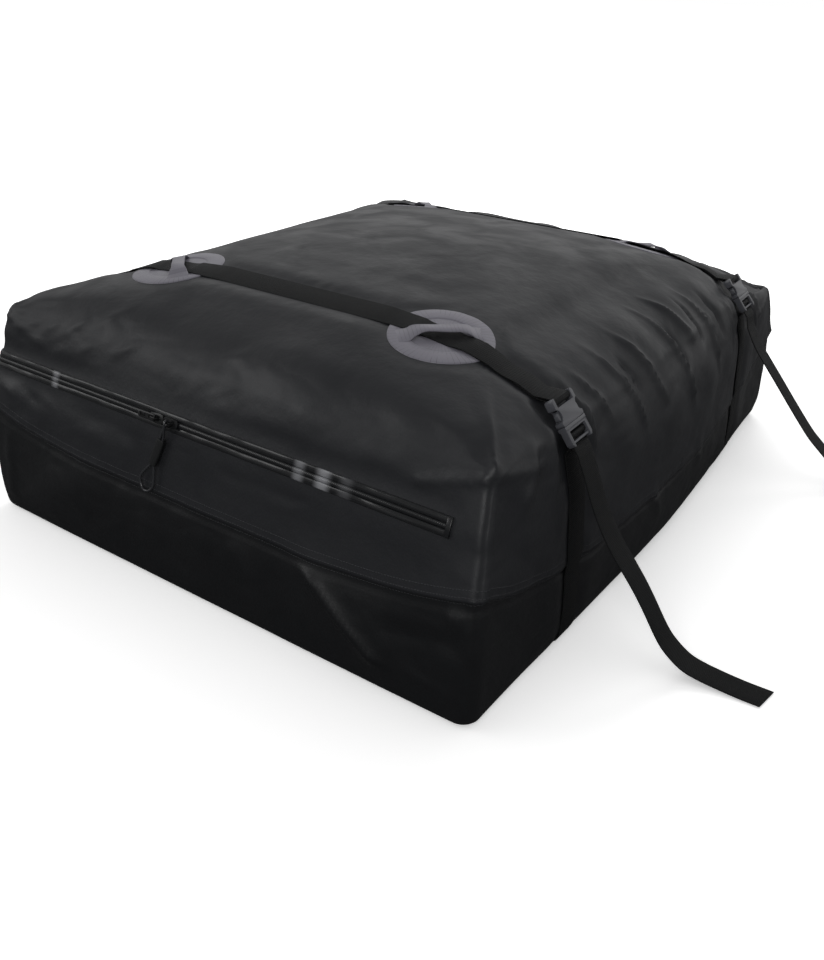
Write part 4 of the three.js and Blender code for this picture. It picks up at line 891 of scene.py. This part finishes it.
# %% Cloth pieces
def grid_piece(name, rows, material, replaced, from_seam, cap):
    """A cloth piece. Its map runs round the bag and up from the lap seam, in metres."""
    points = [tuple(p / 1000) for p in rows.reshape(-1, 3)]
    way = np.broadcast_to(around[None], rows.shape[:2])
    uv = np.stack([way, from_seam], axis=2).reshape(-1, 2) / 1000
    faces = band_faces(*rows.shape[:2], caps=(cap,))
    return new_mesh(name, points, faces, material, "bag", replaced, uv)


HEM_DEPTH, HEM_TURN = 3.2, 3
hem = upper_folded[0] - grid_normals(upper)[0] * HEM_DEPTH
hemmed = np.concatenate([hem[None], upper_folded])
hemmed_seam = np.concatenate([upper_seam[:1] - HEM_TURN, upper_seam])
upper_cloth = grid_piece("upper_panel", hemmed, panel_cloth, ["bag_body"], hemmed_seam, "last")
flat = lower_folded.copy()
flat[:, :, 2] = np.maximum(flat[:, :, 2], 0)
lower_cloth = grid_piece("lower_band", flat, shaded_band_cloth, ["bag_body"], lower_seam, "first")
print("cloth faces", len(upper_cloth.data.polygons), len(lower_cloth.data.polygons))

# %% [markdown]
# ## Webbing that lies on the bag
# The long run of each strap keeps the solid's shape with its edges softened. The weave follows
# the way round the bag, measured from a line inside it.


# %% Softened solids
WELD_REACH = 2e-5


def softened(solid, material, edge=0.0004, segments=2, angle=35):
    """Dresses a plain solid: welded, with small rounded edges and its own finish."""
    solid.data.materials.clear()
    solid.data.materials.append(material)
    weld = solid.modifiers.new("weld", "WELD")
    weld.merge_threshold = WELD_REACH
    if edge:
        bevel = solid.modifiers.new("edges", "BEVEL")
        bevel.width, bevel.segments, bevel.limit_method = edge, segments, "ANGLE"
        bevel.angle_limit = math.radians(angle)
        bevel.harden_normals = False
    solid.data.polygons.foreach_set("use_smooth", [True] * len(solid.data.polygons))


def round_the_bag(tree):
    """The way round the bag, as an angle about a line inside it times a typical reach."""
    place = axes(tree, own_place(tree))
    raised = calc(tree, "SUBTRACT", place["Z"], HUB_HEIGHT / 1000)
    return calc(tree, "MULTIPLY", calc(tree, "ARCTAN2", raised, place["X"]), HUB_REACH / 1000)


def across_bag(tree):
    return axes(tree, own_place(tree))["Y"]


wrapped_webbing = webbing_material("polypropylene_webbing_wrapped", round_the_bag, across_bag)
for place in STRAP_AT:
    softened(nodes[f"strap_{place}_over"], wrapped_webbing)
print("webbing over the top dressed")

# %% [markdown]
# The webbing down each side stays at its foot and ends in the plug at its head. A copy of each
# solid stands in for it, with softened edges.


def bending_copy(place):
    """The webbing below a buckle: a copy of its solid, with softened edges."""
    solid = nodes[f"strap_{place}_side"]
    points = [tuple(solid.matrix_world @ v.co) for v in solid.data.vertices]
    faces = [tuple(face.vertices) for face in solid.data.polygons]
    copy = new_mesh(f"side_{place}", points, faces, wrapped_webbing, None,
                    [f"strap_{place}_side"])
    softened(copy, wrapped_webbing)
    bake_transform(copy)
    print(f"side_{place}: {len(faces)} faces")


for place in STRAP_AT:
    bending_copy(place)

# %% [markdown]
# ## Buckles
# Side release buckles are injection moulded acetal, satin from a fine mould texture. The rounded
# edges catch a thin light line.

# %% Buckles
acetal, tree, surface = new_material("moulded_acetal", "#54555a", 0.28, IOR=1.5)
relief(tree, surface, [(0.08, 0.0001, clouds(tree, 2400.0, 2.0))])
for place in STRAP_AT:
    softened(nodes[f"buckle_socket_{place}"], acetal, 0.0007, 3, 30)
    softened(nodes[f"buckle_plug_{place}"], acetal, 0.0006, 3, 30)

# %% [markdown]
# ## Strap guides
# Each guide is a round of thick grey vinyl film, welded to the cloth, with fine ribs pressed
# into it like spokes. It is laid over the folded cloth, and a bridge crosses the webbing.


# %% Guides
GUIDE_OUTER, GUIDE_HOLE, GUIDE_THICK = 68, 42, 1.5
BRIDGE_WIDE, BRIDGE_RISE, FRONT_BRIDGE_RISE, BRIDGE_ANGLE = 19, 7, 4.4, 45
SPOKES = 116
top_tree = BVHTree.FromObject(upper_cloth, bpy.context.evaluated_depsgraph_get())


def cloth_height(x, y):
    hit = top_tree.ray_cast(Vector((x / 1000, y / 1000, 1.0)), Vector((0, 0, -1)))[0]
    return hit.z * 1000


DENT_COLOUR, RIB_COLOUR = "#4c4b52", "#7b7982"
vinyl, tree, surface = new_material("welded_vinyl_film", DENT_COLOUR, 0.36, IOR=1.5)
spoke = calc(tree, "PINGPONG", axes(tree, own_map(tree))["X"], 1 / SPOKES)
blotch = clouds(tree, 42.0, 3.0, Vector=own_place(tree))
mark = largest(tree, [ramp(tree, spoke, 0.0, 0.0011), ramp(tree, blotch, 0.38, 0.62)])
two_tone(tree, surface, mark, DENT_COLOUR, RIB_COLOUR)
relief(tree, surface, [(0.35, 0.0004, mark)])


RADII = [1, 8, 16, 24, 32, GUIDE_HOLE - 1, GUIDE_HOLE, GUIDE_HOLE + 0.6, GUIDE_HOLE + 2,
         GUIDE_HOLE + 13, GUIDE_OUTER - 2, GUIDE_OUTER - 0.6, GUIDE_OUTER]
RISES = [0.25] * 6 + [0.3, 1.0, GUIDE_THICK, GUIDE_THICK, GUIDE_THICK, 1.0, -0.6]
BRIDGE_EDGE = [(-1, -0.3), (-0.97, 0.8), (-0.9, GUIDE_THICK), (0.9, GUIDE_THICK), (0.97, 0.8),
               (1, -0.3)]
BRIDGE_STEPS = 44


def guide_mesh(name, centre_x, centre_y, node):
    """A round guide laid on the cloth, with the bridge that the webbing runs under."""
    points, faces, uv = [], [], []
    for i in range(SPOKES):
        turn = i / SPOKES * 2 * math.pi
        for r, h in zip(RADII, RISES):
            x, y = centre_x + r * math.cos(turn), centre_y + r * math.sin(turn)
            points.append((x / 1000, y / 1000, (cloth_height(x, y) + h) / 1000))
            uv.append((i / SPOKES, r / 1000))
    count = len(RADII)
    for i in range(SPOKES):
        for j in range(count - 1):
            a, b = i * count + j, ((i + 1) % SPOKES) * count + j
            faces.append((a, a + 1, b + 1, b))
    along = math.radians(BRIDGE_ANGLE if centre_x > 0 else 180 - BRIDGE_ANGLE)
    direction = Vector((math.cos(along), math.sin(along)))
    ends, first = (GUIDE_HOLE + 14) / GUIDE_HOLE, len(points)
    bridge_rise = BRIDGE_RISE if centre_y < 0 else FRONT_BRIDGE_RISE
    for i in range(BRIDGE_STEPS + 1):
        t = mix(-ends, ends, i / BRIDGE_STEPS)
        lift = bridge_rise * (1 - min(1, abs(t)) ** 6) + 1.3 * (1 - ease((abs(t) - 1) / 0.3))
        half = BRIDGE_WIDE / 2 * (1 + 0.7 * ease((abs(t) - 0.55) / 0.7))
        for side, face in BRIDGE_EDGE:
            x = centre_x + direction.x * t * GUIDE_HOLE - direction.y * side * half
            y = centre_y + direction.y * t * GUIDE_HOLE + direction.x * side * half
            here = cloth_height(x, y)
            bed = max(here, min(cloth_height(x, centre_y), 400))
            near = max(0.0, 1 - max(0.0, abs(y - centre_y) - 19) / 10)
            base = mix(here, bed, near)
            points.append((x / 1000, y / 1000, (base + lift + face) / 1000))
            uv.append((i / BRIDGE_STEPS * 0.4, side * 0.01))
    faces += band_faces(BRIDGE_STEPS + 1, len(BRIDGE_EDGE), first)
    return new_mesh(name, points, faces, vinyl, "bag", [node], uv)


for end, y in STRAP_AT.items():
    for side, x in (("right", GUIDE_X), ("left", -GUIDE_X)):
        guide_mesh(f"guide_{end}_{side}", x, y, f"strap_guide_{end}_{side}")
print("guides laid")

# %% [markdown]
# ## Zip
# The zip is a coated reverse coil zip: its coil lies inside, and outside only a smooth black film
# shows, pressed into low ridges. The film is glossier than the cloth, and in a few short stretches
# a painted glint stands in for the film's reflection of the floor.


# %% Zip pieces
def along_zip(tree):
    place = axes(tree, own_place(tree))
    return calc(tree, "SUBTRACT", place["X"], place["Y"])


# place along the bag and half length of each painted glint, in metres, and how pale it is
PAINTED_GLINT_COLOUR = "#98999d"
PAINTED_GLINTS = [(0.167, 0.012, 0.6), (0.203, 0.015, 0.85), (0.236, 0.014, 0.2),
                  (-0.281, 0.010, 0.6)]


def paint_glints(tree, surface, hex_colour):
    """Painted glints: short pale bars where the film lies flat against the wall, standing in for
    its reflection of the white floor.
    """
    x = axes(tree, own_place(tree))["X"]
    bars = [ramp(tree, off_by(tree, x, at), half * 0.1, half, much, 0.0, "SMOOTHSTEP")
            for at, half, much in PAINTED_GLINTS]
    two_tone(tree, surface, largest(tree, bars), hex_colour, PAINTED_GLINT_COLOUR)


COIL_PITCH = 0.0026
FILM_COLOUR, COIL_COLOUR = "#1b1c1e", "#18191b"
film, tree, surface = new_material("polyurethane_film", FILM_COLOUR, 0.24, IOR=1.5)
shine = ramp(tree, clouds(tree, 9.0, 2.0), 0.4, 0.6, 0.18, 0.34)
tree.links.new(shine, surface.inputs["Roughness"])
relief(tree, surface, [(0.9, 0.012, clouds(tree, 16.0, 1.0, Vector=own_place(tree)))])
# painted glints on the tapes, and below on the film over the coil
paint_glints(tree, surface, FILM_COLOUR)
coil_film, tree, surface = new_material("polyurethane_film_over_coil", COIL_COLOUR, 0.26, IOR=1.5)
relief(tree, surface, [(0.22, 0.0003, wave(tree, along_zip(tree), COIL_PITCH))])
paint_glints(tree, surface, COIL_COLOUR)
for node in ("zip_tape_lower", "zip_tape_upper", "zip_end_left", "zip_end_right"):
    softened(nodes[node], film, 0.0005, 2, 40)
softened(nodes["zip_chain"], coil_film, 0.0003, 2, 40)

# %% [markdown]
# ## Sliders and pulls
# The sliders are die cast zinc with black paint. The right one carries a loop of glossy cord
# with a moulded grip, and the left one a plain metal tab.

# %% Sliders and pulls
zinc = new_material("painted_zinc", "#191a1b", 0.3, Metallic=0.35)[0]
cord_coat = new_material("coated_cord", "#2c2d30", 0.18, IOR=1.5, Coat_Weight=0.6)[0]
grip_rubber = new_material("moulded_pvc_grip", "#1a1b1c", 0.4, IOR=1.5)[0]
for node in ("zip_slider_right", "zip_slider_left", "zip_pull_tab"):
    softened(nodes[node], zinc, 0.0003, 2, 30)
softened(nodes["pull_cord"], cord_coat, 0)
softened(nodes["pull_grip"], grip_rubber, 0.0004, 2, 30)

# %% [markdown]
# ## Studio
# The picture is a catalogue shot on a white floor that runs on for ever. The surround is white to
# the camera and grey to the bag, brighter behind it, which lays a pale sheen on the top and leaves
# the near faces dark. Three soft lamps help: one behind that isn't mirrored, and two in front.

# %% Floor and world
floor_material, tree, surface = new_material("studio_floor", "#ffffff", 1.0, Specular_IOR_Level=0.0)
path = add(tree, "LightPath")
away = add(tree, "VectorMath", {"operation": "LENGTH"}, i0=own_place(tree))
# To the camera the floor glows, more weakly near the bag, and ambient occlusion dims that glow
# close to it: a painted contact shadow on top of the real one.
far_glow = ramp(tree, away.outputs["Value"], 0.8, 2.0, 0.58, 1.0)
painted_shadow_ao = add(tree, "AmbientOcclusion", {"samples": 8}, Distance=0.22)
strength = calc(tree, "MULTIPLY", far_glow, ramp(tree, painted_shadow_ao.outputs["AO"], 0.0, 1.0, 0.5, 1.0))
glow = add(tree, "Emission", Color=linear("#ffffff"), Strength=strength)
lit = add(tree, "AddShader", i0=surface.outputs[0], i1=glow.outputs[0])
dark = add(tree, "BsdfDiffuse", Color=linear("#6a6a6b"))
chosen = add(tree, "MixShader", Fac=path.outputs["Is Camera Ray"],
             i1=dark.outputs[0], i2=lit.outputs[0])
tree.links.new(chosen.outputs[0], tree.nodes["Material Output"].inputs["Surface"])
FLOOR_HALF, FLOOR_DROP = 60, 0.0004
corners = [(x * FLOOR_HALF, y * FLOOR_HALF, 0) for x, y in ((-1, -1), (1, -1), (1, 1), (-1, 1))]
floor = new_mesh("floor", corners, [(0, 1, 2, 3)], floor_material, None, smooth=False)
floor.location.z = -FLOOR_DROP

world = bpy.data.worlds.new("studio")
scene.world = world
world.use_nodes = True
tree = world.node_tree
background = tree.nodes["Background"]
facing = axes(tree, add(tree, "TexCoord").outputs["Generated"])
back = ramp(tree, facing["Y"], -0.9, 0.9, 0.26, 0.66)
level = calc(tree, "MULTIPLY", back, ramp(tree, facing["Z"], 0.35, 1.0, 1.0, 0.5))
grey = add(tree, "CombineColor", Red=level, Green=level, Blue=level)
path = add(tree, "LightPath")
seen = add(tree, "Mix", {"data_type": "RGBA"}, Factor=path.outputs["Is Camera Ray"],
           i6=grey.outputs[0], i7=(1, 1, 1, 1))
tree.links.new(seen.outputs[2], background.inputs["Color"])


# %% Lamps
LAMPS = [
    # name, place, aim, size in metres, power in watts, whether it is mirrored
    ("back_lamp", (-0.6, 3.0, 2.4), (0, 0, 0.2), 2.4, 60, False),
    ("left_lamp", (-2.6, -2.4, 2.2), (0, -0.3, 0.2), 2.0, 18, True),
    ("near_lamp", (1.0, -2.4, 1.5), (0.3, -0.5, 0.2), 1.3, 16, True),
]
for name, place, aim, size, power, mirrored in LAMPS:
    data = bpy.data.lights.new(name, "AREA")
    data.shape, data.size, data.energy = "DISK", size, power
    lamp = bpy.data.objects.new(name, data)
    scene.collection.objects.link(lamp)
    lamp.location = place
    lamp.rotation_euler = (Vector(aim) - Vector(place)).to_track_quat("-Z", "Y").to_euler()
    lamp.visible_glossy = mirrored
scene.view_settings.view_transform = "Standard"
print("studio ready")
